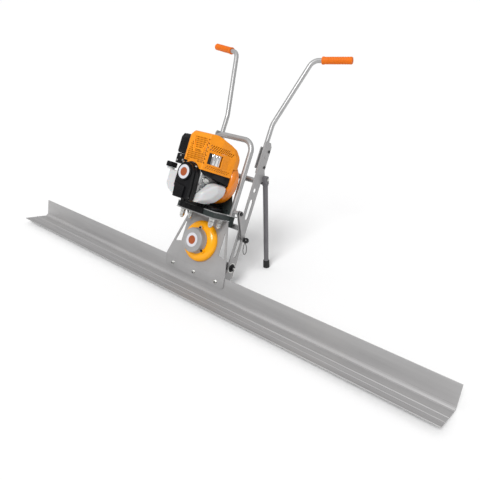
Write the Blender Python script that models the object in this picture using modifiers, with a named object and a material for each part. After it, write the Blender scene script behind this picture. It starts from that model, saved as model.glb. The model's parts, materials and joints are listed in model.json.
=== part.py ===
"""Vibrating power screed: an aluminium blade, a leaning drive plate with a belt driven
exciter and a small four-stroke engine on rubber mounts, and a folding handle frame with
a kickstand. Metres, +Z up, +X along the blade, -Y towards the concrete being levelled.
The origin is the middle of the blade's sole. The machine leans back on its kickstand."""
import math

import bmesh
import bpy
from mathutils import Vector

# Driving dimensions
BLADE_LENGTH = 2.5
FOOT_WIDTH = 0.147
FLANGE_HEIGHT = 0.100
WALL = 0.004
LEAN = math.radians(12.2)          # the sole's angle to the floor
PLATE_TILT = math.radians(14.4)    # the drive plate's angle to the blade's flange
STAND_LEAN = math.radians(3.0)     # the kickstand's angle to the vertical
GAP = 0.0003                       # between pieces that touch
CRANK_HEIGHT = 0.410               # heights are measured up the drive plate
EXCITER_HEIGHT = 0.119
PLATFORM_HEIGHT = 0.244
BRACKET_HEIGHT = 0.272
PLATE_BACK = -0.0005               # the drive plate lies between these depths
PLATE_FRONT = PLATE_BACK - WALL
BAR_X = 0.150                      # centre planes of the side bars
BAR_THICK = 0.005
BAR_DEPTH = 0.076                  # the bars' centre line behind the plate
BAR_WIDTH = 0.055
BAR_TOP = 0.642
PIVOT = (0.0, BAR_DEPTH, 0.042)    # the handle frame's lower pivot
TUBE_R = 0.011
CROSS_R = 0.0125
HOOP_R = 0.013
STRUT_EYE = (0.0, 0.0, 0.2975)
STRUT_PIN = (0.0, BAR_DEPTH, 0.186)
STRUT_X = 0.1655                   # middle of the strut's two flats
STAND_HINGE = (BAR_X, 0.118, 0.480)
PRIMER = (-0.1105, -0.118, 0.4658)
FILLER = (-0.150, -0.176, 0)       # the fuel cap's axis
GROOVE_DRIVE = 0.024               # belt groove radii
GROOVE_EXCITER = 0.026
SIDES = (("left", -1), ("right", 1))

for old in list(bpy.data.objects):
    bpy.data.objects.remove(old, do_unlink=True)
SCREED = bpy.data.collections.new("power_screed")
CUTTERS = bpy.data.collections.new("cutters")
for group in (SCREED, CUTTERS):
    bpy.context.scene.collection.children.link(group)

# Colour, roughness, metallic of each finish
FINISHES = {
    "aluminium": ((0.55, 0.55, 0.56), 0.40, 1.0),
    "cast": ((0.50, 0.50, 0.50), 0.50, 1.0),
    "steel": ((0.62, 0.62, 0.62), 0.30, 1.0),
    "grey_paint": ((0.42, 0.43, 0.44), 0.45, 0.3),
    "dark_paint": ((0.12, 0.13, 0.13), 0.50, 0.2),
    "amber": ((0.95, 0.38, 0.01), 0.20, 0.0),
    "orange": ((0.95, 0.36, 0.03), 0.45, 0.0),
    "black": ((0.02, 0.02, 0.022), 0.45, 0.0),
    "rubber": ((0.03, 0.03, 0.03), 0.80, 0.0),
    "white": ((0.85, 0.85, 0.86), 0.35, 0.0),
    "chrome": ((0.80, 0.80, 0.80), 0.12, 1.0),
}


def frame_at(name, parent=None, location=(0, 0, 0), tilt=0.0):
    """An empty that carries pieces, turned by tilt about its X axis."""
    empty = bpy.data.objects.new(name, None)
    SCREED.objects.link(empty)
    empty.parent = parent
    empty.location = location
    empty.rotation_euler.x = tilt
    return empty


BLADE = frame_at("blade_frame", tilt=-LEAN)
DRIVE = frame_at("drive_frame", BLADE, (0, 0.070, FLANGE_HEIGHT), -PLATE_TILT)
FOLD = frame_at("fold_axis", DRIVE, PIVOT)
CRANK = frame_at("crank_axis", DRIVE, (0, 0, CRANK_HEIGHT))
EXCITER = frame_at("exciter_axis", DRIVE, (0, 0, EXCITER_HEIGHT))
STAND = frame_at("stand_axis", FOLD, Vector(STAND_HINGE) - Vector(PIVOT),
                 STAND_LEAN + LEAN + PLATE_TILT)


def dress(obj, finish):
    colour, roughness, metallic = FINISHES[finish]
    look = bpy.data.materials.new(obj.name)
    look.use_nodes = True
    shader = look.node_tree.nodes["Principled BSDF"]
    shader.inputs["Base Color"].default_value = (*colour, 1)
    shader.inputs["Roughness"].default_value = roughness
    shader.inputs["Metallic"].default_value = metallic
    obj.data.materials.append(look)


def place(name, data, frame, at, turn, finish):
    """Puts a piece in a frame. A piece without a finish is a cutter."""
    obj = bpy.data.objects.new(name, data)
    obj.parent = frame
    obj.location = at
    obj.rotation_euler = turn
    if finish:
        SCREED.objects.link(obj)
        dress(obj, finish)
    else:
        CUTTERS.objects.link(obj)
        obj.hide_render = True
        obj.display_type = "WIRE"
    return obj


ALONG = {"X": (0, math.pi / 2, 0), "Y": (-math.pi / 2, 0, 0), "Z": (0, 0, 0)}
FACING = {"X": (math.pi / 2, 0, math.pi / 2), "Y": (math.pi / 2, 0, 0), "Z": (0, 0, 0)}


def box(name, low, high, frame, finish=None, bevel=0.0):
    mesh = bpy.data.meshes.new(name)
    bm = bmesh.new()
    bmesh.ops.create_cube(bm, size=1)
    size = Vector(high) - Vector(low)
    bmesh.ops.scale(bm, vec=size, verts=bm.verts)
    bm.to_mesh(mesh)
    bm.free()
    obj = place(name, mesh, frame, (Vector(low) + Vector(high)) / 2, (0, 0, 0), finish)
    if bevel:
        rounding = obj.modifiers.new("rounding", "BEVEL")
        rounding.width = bevel
        rounding.segments = 2
    return obj


def turned(name, profile, axis, at, frame, finish=None, steps=20, closed=False):
    """A profile of (radius, distance along the axis), outer side from far to near."""
    mesh = bpy.data.meshes.new(name)
    edges = [(i, i + 1) for i in range(len(profile) - 1)]
    if closed:
        edges.append((len(profile) - 1, 0))
    mesh.from_pydata([(r, 0, z) for r, z in profile], edges, [])
    obj = place(name, mesh, frame, at, ALONG[axis], finish)
    screw = obj.modifiers.new("turning", "SCREW")
    screw.steps = screw.render_steps = steps
    screw.use_merge_vertices = True
    screw.merge_threshold = 1e-5
    screw.use_smooth_shade = True
    return obj


def rod(name, radius, start, end, axis, at, frame, finish=None, steps=16):
    profile = [(0, end), (radius, end), (radius, start), (0, start)]
    return turned(name, profile, axis, at, frame, finish, steps)


def ring(name, outer, inner, start, end, axis, at, frame, finish=None, steps=20):
    profile = [(outer, end), (outer, start), (inner, start), (inner, end)]
    return turned(name, profile, axis, at, frame, finish, steps, closed=True)


def arc(centre, radius, start, end, steps=6):
    """Points from one angle in degrees to another, ends included."""
    turns = [math.radians(start + (end - start) * i / steps) for i in range(steps + 1)]
    return [(centre[0] + radius * math.cos(t), centre[1] + radius * math.sin(t))
            for t in turns]


def circle(centre, radius, steps=16):
    return arc(centre, radius, 0, 360, steps)[:-1]


def slot(x, low, high, radius):
    """A slot along the second coordinate, with round ends."""
    return (arc((x, high - radius), radius, 0, 180, 6)
            + arc((x, low + radius), radius, 180, 360, 6))


def plate(name, outlines, facing, middle, thick, frame, finish=None, at=(0, 0, 0)):
    """A flat outline with holes. Facing X: (y, z) points; Y: (x, z); Z: (x, y)."""
    curve = bpy.data.curves.new(name, "CURVE")
    curve.dimensions = "2D"
    curve.fill_mode = "BOTH"
    curve.extrude = thick / 2
    for outline in outlines:
        spline = curve.splines.new("POLY")
        spline.points.add(len(outline) - 1)
        for point, (a, b) in zip(spline.points, outline):
            point.co = (a, b, 0, 1)
        spline.use_cyclic_u = True
    shift = {"X": (middle, 0, 0), "Y": (0, middle, 0), "Z": (0, 0, middle)}[facing]
    sketch = bpy.data.objects.new(name, curve)
    bpy.context.scene.collection.objects.link(sketch)
    mesh = meshed(sketch)
    return place(name, mesh, frame, Vector(at) + Vector(shift), FACING[facing], finish)


def meshed(curve_obj):
    """The curve's mesh with its caps welded; the curve object is removed."""
    shape = curve_obj.evaluated_get(bpy.context.evaluated_depsgraph_get())
    mesh = bpy.data.meshes.new_from_object(shape)
    bpy.data.objects.remove(curve_obj, do_unlink=True)
    bm = bmesh.new()
    bm.from_mesh(mesh)
    bmesh.ops.remove_doubles(bm, verts=bm.verts, dist=1e-6)
    bmesh.ops.recalc_face_normals(bm, faces=bm.faces)
    bm.to_mesh(mesh)
    bm.free()
    return mesh


def rounded(corners, radii, steps=5):
    """A path through corners, with the inner ones turned into arcs."""
    path = [Vector(corners[0])]
    for before, corner, after, radius in zip(corners, corners[1:], corners[2:], radii):
        corner = Vector(corner)
        back = (Vector(before) - corner).normalized()
        ahead = (Vector(after) - corner).normalized()
        half = back.angle(ahead) / 2
        middle = corner + (back + ahead).normalized() * radius / math.sin(half)
        first = corner + back * radius / math.tan(half) - middle
        last = corner + ahead * radius / math.tan(half) - middle
        sweep = first.angle(last)
        for i in range(steps + 1):
            t = i / steps
            path.append(middle + (first * math.sin((1 - t) * sweep)
                                  + last * math.sin(t * sweep)) / math.sin(sweep))
    path.append(Vector(corners[-1]))
    return path


def tube(name, path, radius, frame, finish, at=(0, 0, 0)):
    curve = bpy.data.curves.new(name, "CURVE")
    curve.dimensions = "3D"
    curve.bevel_depth = radius
    curve.bevel_resolution = 3
    curve.use_fill_caps = True
    spline = curve.splines.new("POLY")
    spline.points.add(len(path) - 1)
    for point, spot in zip(spline.points, path):
        point.co = (*spot, 1)
    sketch = bpy.data.objects.new(name, curve)
    bpy.context.scene.collection.objects.link(sketch)
    mesh = meshed(sketch)
    obj = place(name, mesh, frame, at, (0, 0, 0), finish)
    mesh.shade_smooth()
    mesh.set_sharp_from_angle(angle=math.radians(40))
    return obj


def combine(obj, tool, operation):
    step = obj.modifiers.new(operation.lower(), "BOOLEAN")
    step.operation = operation
    step.object = tool
    step.solver = "EXACT"


def cut(obj, *tools):
    for tool in tools:
        combine(obj, tool, "DIFFERENCE")


def join(obj, *tools):
    for tool in tools:
        combine(obj, tool, "UNION")


def mirrored(points):
    """The outline and its mirror image in the first coordinate, as one loop."""
    return points + [(-a, b) for a, b in reversed(points)]


def make_blade():
    half = FOOT_WIDTH / 2
    root = half - WALL
    profile = [(-half, 0), (half, 0), (half, FLANGE_HEIGHT), (root, FLANGE_HEIGHT),
               (root, 0.013), (root - 0.009, WALL), (0.004, WALL), (0, 0.0065),
               (-0.004, WALL), (-half, WALL)]
    blade = plate("blade", [profile], "X", 0, BLADE_LENGTH, BLADE, "aluminium")
    for name, x in (("left", -0.14), ("mid", 0), ("right", 0.14)):
        spot = (x, 0, 0.068)
        cut(blade, rod(f"blade_hole_{name}", 0.0058, 0.06, 0.08, "Y", spot, BLADE))
        profile = [(0, half + 0.010), (0.0095, half + 0.010), (0.0095, half + GAP),
                   (0.005, half + GAP), (0.005, 0.0649), (0.0105, 0.0649),
                   (0.0105, 0.0590), (0, 0.0590)]
        turned(f"blade_bolt_{name}", profile, "Y", spot, BLADE, "steel", 12)


def make_mounting_plate():
    """The bolted strip, the leaning plate with its windows, and the platform on top."""
    strip = mirrored([(0.19, 0.1005), (0.19, 0.062)] + arc((0.173, 0.062), 0.017, 0, -90, 4))
    holes = [circle((x, 0.068), 0.0058, 12) for x in (-0.14, 0, 0.14)]
    obj = plate("mounting_plate", [strip] + holes, "Y", 0.0672, WALL, BLADE, "grey_paint")
    upper = mirrored([(0.19, -0.002), (0.19, 0.008), (0.118, 0.248)])
    window = [(0.120, 0.190), (0.124, 0.190), (0.157, 0.078), (0.120, 0.086)]
    other_window = [(-a, b) for a, b in window]
    hub = circle((0, EXCITER_HEIGHT), 0.030)
    middle = (PLATE_FRONT + PLATE_BACK) / 2
    join(obj, plate("upper_plate", [upper, window, other_window, hub], "Y", middle, WALL,
                    DRIVE))
    platform = [(-0.114, -0.110), (0.114, -0.110), (0.114, PLATE_BACK), (-0.114, PLATE_BACK)]
    studs = [circle(spot, 0.0048, 12) for spot in mount_spots().values()]
    join(obj, plate("platform", [platform] + studs, "Z", PLATFORM_HEIGHT + WALL / 2, WALL,
                    DRIVE))
    lug = [(-0.003, 0.012), (0.070, 0.012)] + arc((0.076, 0.042), 0.018, -70, 90, 6)
    lug += [(-0.003, 0.075)]
    hole = circle(PIVOT[1:], 0.0066, 12)
    for name, side in SIDES:
        join(obj, plate(f"lug_{name}", [lug, hole], "X", side * 0.141, WALL, DRIVE))


def mount_spots():
    return {f"{end}_{name}": (side * 0.090, depth) for name, side in SIDES
            for end, depth in (("front", -0.085), ("rear", -0.027))}


def make_mounts():
    """Rubber mounts with their studs and nuts, and the engine bracket on top of them."""
    low = PLATFORM_HEIGHT + WALL + GAP
    for name, (x, y) in mount_spots().items():
        profile = [(0, BRACKET_HEIGHT - GAP), (0.0180, BRACKET_HEIGHT - GAP),
                   (0.0180, low), (0.004, low), (0.004, PLATFORM_HEIGHT - GAP),
                   (0.0085, PLATFORM_HEIGHT - GAP), (0.0085, 0.226), (0.005, 0.226),
                   (0.005, 0.212), (0, 0.212)]
        turned(f"rubber_mount_{name}", profile, "Z", (x, y, 0), DRIVE, "rubber", 12)
    floor = mirrored([(0.112, -0.110), (0.112, -0.020), (0.1325, -0.012), (0.1325, 0.032),
                      (0.090, 0.032), (0.090, -0.004)])
    bracket = plate("engine_bracket", [floor], "Z", BRACKET_HEIGHT + WALL / 2, WALL, DRIVE,
                    "dark_paint")
    wall = mirrored([(0.112, BRACKET_HEIGHT + 0.001), (0.112, 0.330), (0.060, 0.470)])
    join(bracket, plate("engine_wall", [wall, circle((0, CRANK_HEIGHT), 0.030)], "Y",
                        -0.006, WALL, DRIVE))
    join(bracket, box("engine_base", (-0.092, -0.108, 0.274), (0.092, -0.030, 0.2915),
                      DRIVE))
    ear = [(-0.012, 0.274), (0.012, 0.274), (0.012, 0.2975)]
    ear += arc(STRUT_EYE[1:], 0.012, 0, 180, 6)[1:]
    for name, side in SIDES:
        join(bracket,
             plate(f"ear_{name}", [ear], "X", side * 0.1305, WALL, DRIVE),
             box(f"tab_{name}", (side * 0.1195 - 0.002, 0.002, 0.222),
                 (side * 0.1195 + 0.002, 0.031, 0.274), DRIVE))
    top = 0.635 - HOOP_R
    foot = BRACKET_HEIGHT + WALL + GAP
    corners = [(-0.115, 0.011, foot), (-0.115, 0.011, top), (0.115, 0.011, top),
               (0.115, 0.011, foot)]
    tube("guard_hoop", rounded(corners, (0.052, 0.052)), HOOP_R, DRIVE, "grey_paint")


def make_exciter():
    """The eccentric in its amber housing, in front of the plate. Depths are along Y."""
    spot = (0, 0, 0)
    front = -0.040
    back = PLATE_FRONT - GAP
    dome = [(0.099 - 0.025 * (1 - math.cos(math.radians(a))),
             -0.010 + (front + 0.010) * math.sin(math.radians(a)))
            for a in range(0, 73, 18)]
    profile = [(0.099, back)] + dome + [(0.070, front),
        (0.046, front), (0.046, -0.0175), (0.0178, -0.0175), (0.0178, back)]
    housing = turned("exciter_housing", profile, "Y", spot, EXCITER, "amber", 32, True)
    flange_back = front - GAP
    profile = [(0.060, flange_back), (0.060, -0.0445), (0.055, -0.0475), (0.052, -0.070),
               (0.0495, -0.0725), (0, -0.0725), (0, -0.059), (0.0178, -0.059),
               (0.0178, -0.049), (0.0445, -0.047), (0.0445, flange_back)]
    cap = turned("exciter_cap", profile, "Y", spot, EXCITER, "grey_paint", 32, True)
    for name, angle in (("a", 85), ("b", -35), ("c", 205)):
        turn = math.radians(angle)
        place_at = (0.063 * math.cos(turn), 0, 0.063 * math.sin(turn))
        join(cap, rod(f"cap_lobe_{name}", 0.0075, -0.0445, flange_back, "Y", place_at,
                      EXCITER, steps=12))
        cut(cap, rod(f"cap_hole_{name}", 0.0028, -0.05, -0.03, "Y", place_at, EXCITER,
                     steps=8))
        cut(housing, rod(f"housing_hole_{name}", 0.0028, -0.05, -0.026, "Y", place_at,
                         EXCITER, steps=8))
    for name, start in (("rear", -0.0160), ("front", -0.0580)):
        ring(f"bearing_{name}", 0.0175, 0.0083, start, start + 0.0095, "Y", spot, EXCITER,
             "steel", 16)
    rod("exciter_shaft", 0.008, -0.0582, 0.030, "Y", spot, EXCITER, "steel", 12)
    weight = arc((0, 0), 0.042, 180, 360, 12) + arc((0, 0), 0.014, 0, 180, 8)
    plate("eccentric_weight", [weight, circle((0, 0), 0.0084, 12)], "Y", -0.031, 0.022,
          EXCITER, "steel")


def pulley_profile(groove, bore, start):
    rim = groove + 0.008
    return [(rim, start + 0.018), (rim, start + 0.0155), (groove, start + 0.0145),
            (groove, start + 0.0035), (rim, start + 0.0025), (rim, start),
            (bore, start), (bore, start + 0.018)]


def belt_loop(drive, exciter):
    """The outline of a band around both pulleys, seen along their axes."""
    span = CRANK_HEIGHT - EXCITER_HEIGHT
    offset = math.degrees(math.asin((exciter - drive) / span))
    return (arc((0, CRANK_HEIGHT), drive, -offset, 180 + offset, 12)
            + arc((0, EXCITER_HEIGHT), exciter, 180 + offset, 360 - offset, 12))


def make_belt_drive():
    start = 0.006
    turned("exciter_pulley", pulley_profile(GROOVE_EXCITER, 0.0084, start), "Y",
           (0, 0, 0), EXCITER, "cast", 20, True)
    inner = belt_loop(GROOVE_DRIVE + 0.0005, GROOVE_EXCITER + 0.0005)
    outer = belt_loop(GROOVE_DRIVE + 0.0065, GROOVE_EXCITER + 0.0065)
    plate("drive_belt", [outer, inner], "Y", start + 0.009, 0.0095, DRIVE, "rubber")
    guard = plate("belt_guard", [belt_loop(0.046, 0.046)], "Y", 0.0181, 0.0355, DRIVE,
                  "black")
    cut(guard, plate("guard_room", [belt_loop(0.0435, 0.0435)], "Y", 0.0157, 0.0355,
                     DRIVE))


def make_engine():
    """Everything that turns about the crank axis, and the castings around it."""
    spot = (0, 0, 0)
    case = box("crankcase", (-0.056, -0.196, -0.078), (0.056, -0.076, 0.044), CRANK,
               "cast", 0.006)
    cut(case, rod("crank_bore", 0.0086, -0.21, -0.06, "Y", spot, CRANK),
        rod("crank_room", 0.0290, -0.155, -0.105, "Y", spot, CRANK),
        rod("web_slot", 0.0290, 0, 0.060, "Z", (0, -0.130, 0), CRANK))
    turned("crankshaft", [(0, -0.0235), (0.008, -0.0235), (0.008, -0.115), (0.025, -0.115),
                          (0.025, -0.145), (0.008, -0.145), (0.008, -0.212),
                          (0, -0.212)], "Y", spot, CRANK, "steel", 16)
    fins = []
    for i in range(6):
        low = 0.130 - 0.016 * i
        fins += [(0.041, low), (0.041, low - 0.005), (0.031, low - 0.005)]
        fins += [(0.031, low - 0.016)] if i < 5 else []
    base = 0.0443
    barrel = turned("cylinder_barrel", [(0, 0.130)] + fins + [
        (0.031, base), (0.024, base), (0.024, 0.110), (0, 0.110)], "Z", (0, -0.130, 0),
        CRANK, "cast", 16, closed=True)
    cut(barrel, rod("plug_hole", 0.0055, 0.100, 0.140, "Z", (0, -0.130, 0), CRANK,
                    steps=12))
    turned("spark_plug", [(0, 0.151), (0.005, 0.151), (0.005, 0.143), (0.0085, 0.143),
                          (0.0085, 0.1303), (0.005, 0.1303), (0.005, 0.104), (0, 0.104)],
           "Z", (0, -0.130, 0), CRANK, "white", 12)
    turned("flywheel", [(0.088, -0.046), (0.088, -0.062), (0.0084, -0.062),
                        (0.0084, -0.046)], "Y", spot, CRANK, "cast", 24, True)
    turned("clutch_rotor", [(0.032, -0.0275), (0.032, -0.0400), (0.012, -0.0400),
                            (0.012, -0.0457), (0.0084, -0.0457), (0.0084, -0.0275)],
           "Y", spot, CRANK, "steel", 20, True)
    rim = GROOVE_DRIVE + 0.008
    start = 0.006
    turned("clutch_drum", [(0, start + 0.022), (0.010, start + 0.022),
                           (0.010, start + 0.018), (rim, start + 0.018),
                           (rim, start + 0.0155), (GROOVE_DRIVE, start + 0.0145),
                           (GROOVE_DRIVE, start + 0.0035), (rim, start + 0.0025),
                           (rim, start), (0.010, start), (0.010, -0.018),
                           (0.038, -0.018), (0.038, -0.043), (0.0345, -0.043),
                           (0.0345, -0.022), (0, -0.022)], "Y", spot, CRANK, "steel", 24)
    offset = (0.012, 0, 0.005)
    rim_arc = [(0.113 - 0.013 * (1 - math.cos(math.radians(a))),
                -0.052 - 0.013 * math.sin(math.radians(a))) for a in (0, 30, 60, 90)]
    rear_arc = [(r, -0.076 - along) for r, along in reversed(rim_arc)]
    housing = turned("fan_housing", rear_arc + rim_arc + [
        (0.103, -0.065), (0.103, -0.060), (0.107, -0.052), (0.107, -0.024),
        (0.100, -0.0165), (0.020, -0.0165), (0.020, -0.011)], "Y", offset, CRANK,
        "orange", 32, True)
    cut(housing, rod("drum_hole", 0.034, -0.03, 0, "Y", spot, CRANK, steps=20))


def make_covers():
    """The orange engine shroud, the black covers, the silencer and the fuel tank."""
    shell = [(-0.058, -0.212), (0.060, -0.212), (0.088, -0.150), (0.093, -0.072),
             (-0.072, -0.072), (-0.062, -0.150)]
    room = [(-0.0555, -0.2095), (0.0583, -0.2095), (0.0855, -0.1495), (0.0905, -0.0745),
            (-0.0695, -0.0745), (-0.0597, -0.1500)]
    side = [(-0.215, 0.428), (-0.215, 0.575), (-0.205, 0.592), (-0.185, 0.592),
            (-0.070, 0.549), (-0.070, 0.428)]
    side_room = [(-0.211, 0.400), (-0.211, 0.573), (-0.203, 0.5895), (-0.1855, 0.5895),
                 (-0.0725, 0.5475), (-0.0725, 0.400)]
    shroud = plate("engine_shroud", [shell], "Z", 0.51, 0.20, DRIVE, "orange")
    combine(shroud, plate("shroud_side", [side], "X", 0.01, 0.24, DRIVE), "INTERSECT")
    inside = plate("shroud_room", [room], "Z", 0.50, 0.22, DRIVE)
    combine(inside, plate("shroud_room_side", [side_room], "X", 0.01, 0.24, DRIVE),
            "INTERSECT")
    cut(shroud, inside,
        box("shroud_window", (0.05, -0.180, 0.466), (0.12, -0.122, 0.512), DRIVE),
        rod("shroud_arch", 0.0545, -0.22, -0.19, "Y", (0.002, 0, 0.403), DRIVE, steps=24),
        box("shroud_left", (-0.09, -0.23, 0.400), (-0.030, -0.06, 0.458), DRIVE))
    box("muffler", (0.0450, -0.165, 0.4580), (0.0760, -0.095, 0.545), DRIVE, "chrome",
        0.008)
    cover = [(-0.022, 0.292), (0.054, 0.292), (0.056, 0.340)]
    cover += arc((0.003, 0.405), 0.047, 0, 180, 10) + [(-0.044, 0.350)]
    starter = plate("starter_cover", [cover], "Y", -0.2270, 0.052, DRIVE, "black")
    cut(starter, rod("starter_room", 0.036, -0.245, -0.190, "Y", (0, 0, 0), CRANK))
    box("air_cleaner_cover", (-0.128, -0.190, 0.480), (-0.074, -0.085, 0.572), DRIVE,
        "black", 0.010)
    carburettor = box("carburettor", (-0.110, -0.160, 0.4520), (-0.076, -0.100, 0.4795),
                      DRIVE, "cast", 0.003)
    cut(carburettor, rod("primer_pocket", 0.0108, -0.010, 0.008, "X", PRIMER, DRIVE))
    tank = [(-0.174, 0.386), (-0.152, 0.344), (-0.120, 0.314), (-0.078, 0.2935),
            (0.062, 0.2935), (0.098, 0.318), (0.113, 0.355), (0.112, 0.384),
            (0.0595, 0.392), (0.0595, 0.328), (-0.0595, 0.328), (-0.0595, 0.400),
            (-0.172, 0.400)]
    plan = [(-0.138, -0.195), (0.088, -0.195), (0.115, -0.125), (0.115, -0.081),
            (-0.160, -0.081), (-0.178, -0.100), (-0.178, -0.155)]
    body = plate("fuel_tank", [tank], "Y", -0.138, 0.114, DRIVE, "white")
    combine(body, plate("tank_plan", [plan], "Z", 0.345, 0.150, DRIVE), "INTERSECT")
    corner = body.modifiers.new("rounding", "BEVEL")
    corner.width = 0.008
    corner.segments = 2
    corner.angle_limit = math.radians(60)
    join(body, rod("filler_neck", 0.015, 0.395, 0.408, "Z", FILLER, DRIVE))
    rod("fuel_cap", 0.024, 0.4083, 0.432, "Z", FILLER, DRIVE, "black", 16)


def make_controls():
    """The starter grip, throttle and choke levers and the primer bulb."""
    rod("starter_grip", 0.009, 0.336, 0.384, "Z", (-0.058, -0.213, 0), DRIVE, "black", 10)
    hub = arc((0, 0), 0.007, 180, 360, 6)
    outline = hub + [(0.005, 0.028), (-0.005, 0.028)]
    plate("throttle_lever", [outline], "X", 0, 0.003, DRIVE, "steel",
          at=(-0.1125, -0.145, 0.450))
    plate("choke_lever", [[(-a, b) for a, b in outline]], "X", 0, 0.003, DRIVE, "black",
          at=(-0.1305, -0.110, 0.500))
    turned("primer_bulb", [(0, 0), (0.010, 0), (0.009, -0.004), (0.005, -0.008), (0, -0.009)],
           "X", PRIMER, DRIVE, "rubber", 12)


def make_frame():
    """The folding handle frame. Positions are measured from its lower pivot."""
    back = BAR_DEPTH - BAR_WIDTH / 2 - PIVOT[1]
    front_edge, rear_edge = back, back + BAR_WIDTH
    low, high = -0.020 - PIVOT[2], BAR_TOP - PIVOT[2]
    hinge = (STAND_HINGE[1] - PIVOT[1], STAND_HINGE[2] - PIVOT[2])
    ear = ([(rear_edge, hinge[1] - 0.018)]
           + arc(hinge, 0.012, -60, 90, 6) + [(rear_edge, hinge[1] + 0.036)])
    for name, side in SIDES:
        outline = (arc((rear_edge - 0.020, low + 0.020), 0.020, 270, 360, 4)
                   + (ear if side > 0 else [])
                   + [(rear_edge, high - 0.018), (rear_edge - 0.014, high),
                      (front_edge + 0.006, high)]
                   + [(front_edge, high - 0.010)]
                   + arc((front_edge + 0.020, low + 0.020), 0.020, 180, 270, 4))
        holes = [circle((0, 0), 0.0066, 12), circle((0, 0.373), 0.0105, 12),
                 slot(0, 0.049, 0.1355, 0.012), slot(0, 0.2315, 0.3306, 0.012),
                 circle((0, 0.528), 0.003, 8)]
        if side > 0:
            holes.append(circle(hinge, 0.0046, 12))
        plate(f"side_bar_{name}", [outline] + holes, "X", side * BAR_X, BAR_THICK, FOLD,
              "grey_paint")
        clamp = [(-0.014, 0.473), (0.014, 0.473), (0.014, 0.573), (-0.014, 0.573)]
        tube_x = BAR_X - BAR_THICK / 2 - TUBE_R - GAP
        inner = tube_x - TUBE_R - GAP - 0.002
        plate(f"clamp_plate_{name}", [clamp], "X", side * inner, WALL, FOLD, "grey_paint")
        corners = [(side * tube_x, 0, 0.452), (side * tube_x, 0.004, 0.682),
                   (side * 0.222, 0.038, 0.998), (side * 0.392, 0.071, 1.026)]
        path = rounded(corners, (0.10, 0.045))
        tube(f"handle_{name}", path, TUBE_R, FOLD, "grey_paint")
        along = (path[-1] - path[-2]).normalized()
        grip = bpy.data.objects.new(f"grip_axis_{name}", None)
        SCREED.objects.link(grip)
        grip.parent = FOLD
        grip.location = path[-1]
        grip.rotation_mode = "QUATERNION"
        grip.rotation_quaternion = Vector((0, 0, 1)).rotation_difference(along)
        sleeve = [(0, 0.0035), (0.0145, 0.0035), (0.0165, 0), (0.0155, -0.115),
                  (0.0170, -0.125), (0.0170, -0.132), (TUBE_R + GAP, -0.132),
                  (TUBE_R + GAP, GAP), (0, GAP)]
        turned(f"grip_{name}", sleeve, "Z", (0, 0, 0), grip, "orange", 16)
    inside = BAR_X - BAR_THICK / 2 - GAP
    for name, y, z in (("lower", 0.070, 0.229), ("upper", 0.078, 0.459)):
        spot = (0, y - PIVOT[1], z - PIVOT[2])
        rod(f"cross_tube_{name}", CROSS_R, -inside, inside, "X", spot, FOLD, "grey_paint")


def make_pivots_and_struts():
    length = (Vector(STRUT_PIN) - Vector(STRUT_EYE)).length
    swing = math.atan2(STRUT_PIN[1] - STRUT_EYE[1], STRUT_EYE[2] - STRUT_PIN[2])
    for name, side in SIDES:
        out = BAR_X + BAR_THICK / 2 + GAP
        profile = [(0, out + 0.007), (0.011, out + 0.007), (0.011, out), (0.006, out),
                   (0.006, 0.1387), (0.011, 0.1387), (0.011, 0.129), (0, 0.129)]
        if side < 0:
            profile = [(r, -x) for r, x in reversed(profile)]
        turned(f"pivot_bolt_{name}", profile, "X", PIVOT, DRIVE, "black", 12)
        profile = [(0, 0.1790), (0.0095, 0.1790), (0.0095, 0.1733), (0.005, 0.1733),
                   (0.005, 0.1575), (0.0085, 0.1575), (0.0085, 0.1328), (0, 0.1328)]
        if side < 0:
            profile = [(r, -x) for r, x in reversed(profile)]
        turned(f"strut_bolt_{name}", profile, "X", STRUT_EYE, DRIVE, "black", 12)
        eye = frame_at(f"strut_axis_{name}", DRIVE, STRUT_EYE, swing)
        flat = (arc((0, 0), 0.0125, 0, 180, 8)
                + arc((0, -length), 0.0115, 180, 360, 8))
        bolt_hole = circle((0, 0), 0.0056, 12)
        pin_hole = circle((0, -length), 0.0051, 12)
        strut = plate(f"strut_{name}", [flat, bolt_hole, pin_hole], "X",
                      side * (STRUT_X - 0.006), 0.003, eye, "grey_paint")
        web = box(f"strut_web_{name}", (side * STRUT_X - 0.0065, 0.0085, -length + 0.018),
                  (side * STRUT_X + 0.0065, 0.0115, -0.016), eye)
        join(strut, plate(f"strut_flat_{name}", [flat, bolt_hole, pin_hole], "X",
                          side * (STRUT_X + 0.006), 0.003, eye), web)
        pin = [(0, 0.2050), (0.0065, 0.2040), (0.0110, 0.2000), (0.0125, 0.1935),
               (0.0110, 0.1870), (0.0075, 0.1825), (0.0075, 0.1735), (0.0045, 0.1735),
               (0.0045, 0.1540), (0, 0.1540)]
        if side < 0:
            pin = [(r, -x) for r, x in reversed(pin)]
        turned(f"strut_pin_{name}", pin, "X", (0, 0, -length), eye, "black", 12)


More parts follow.
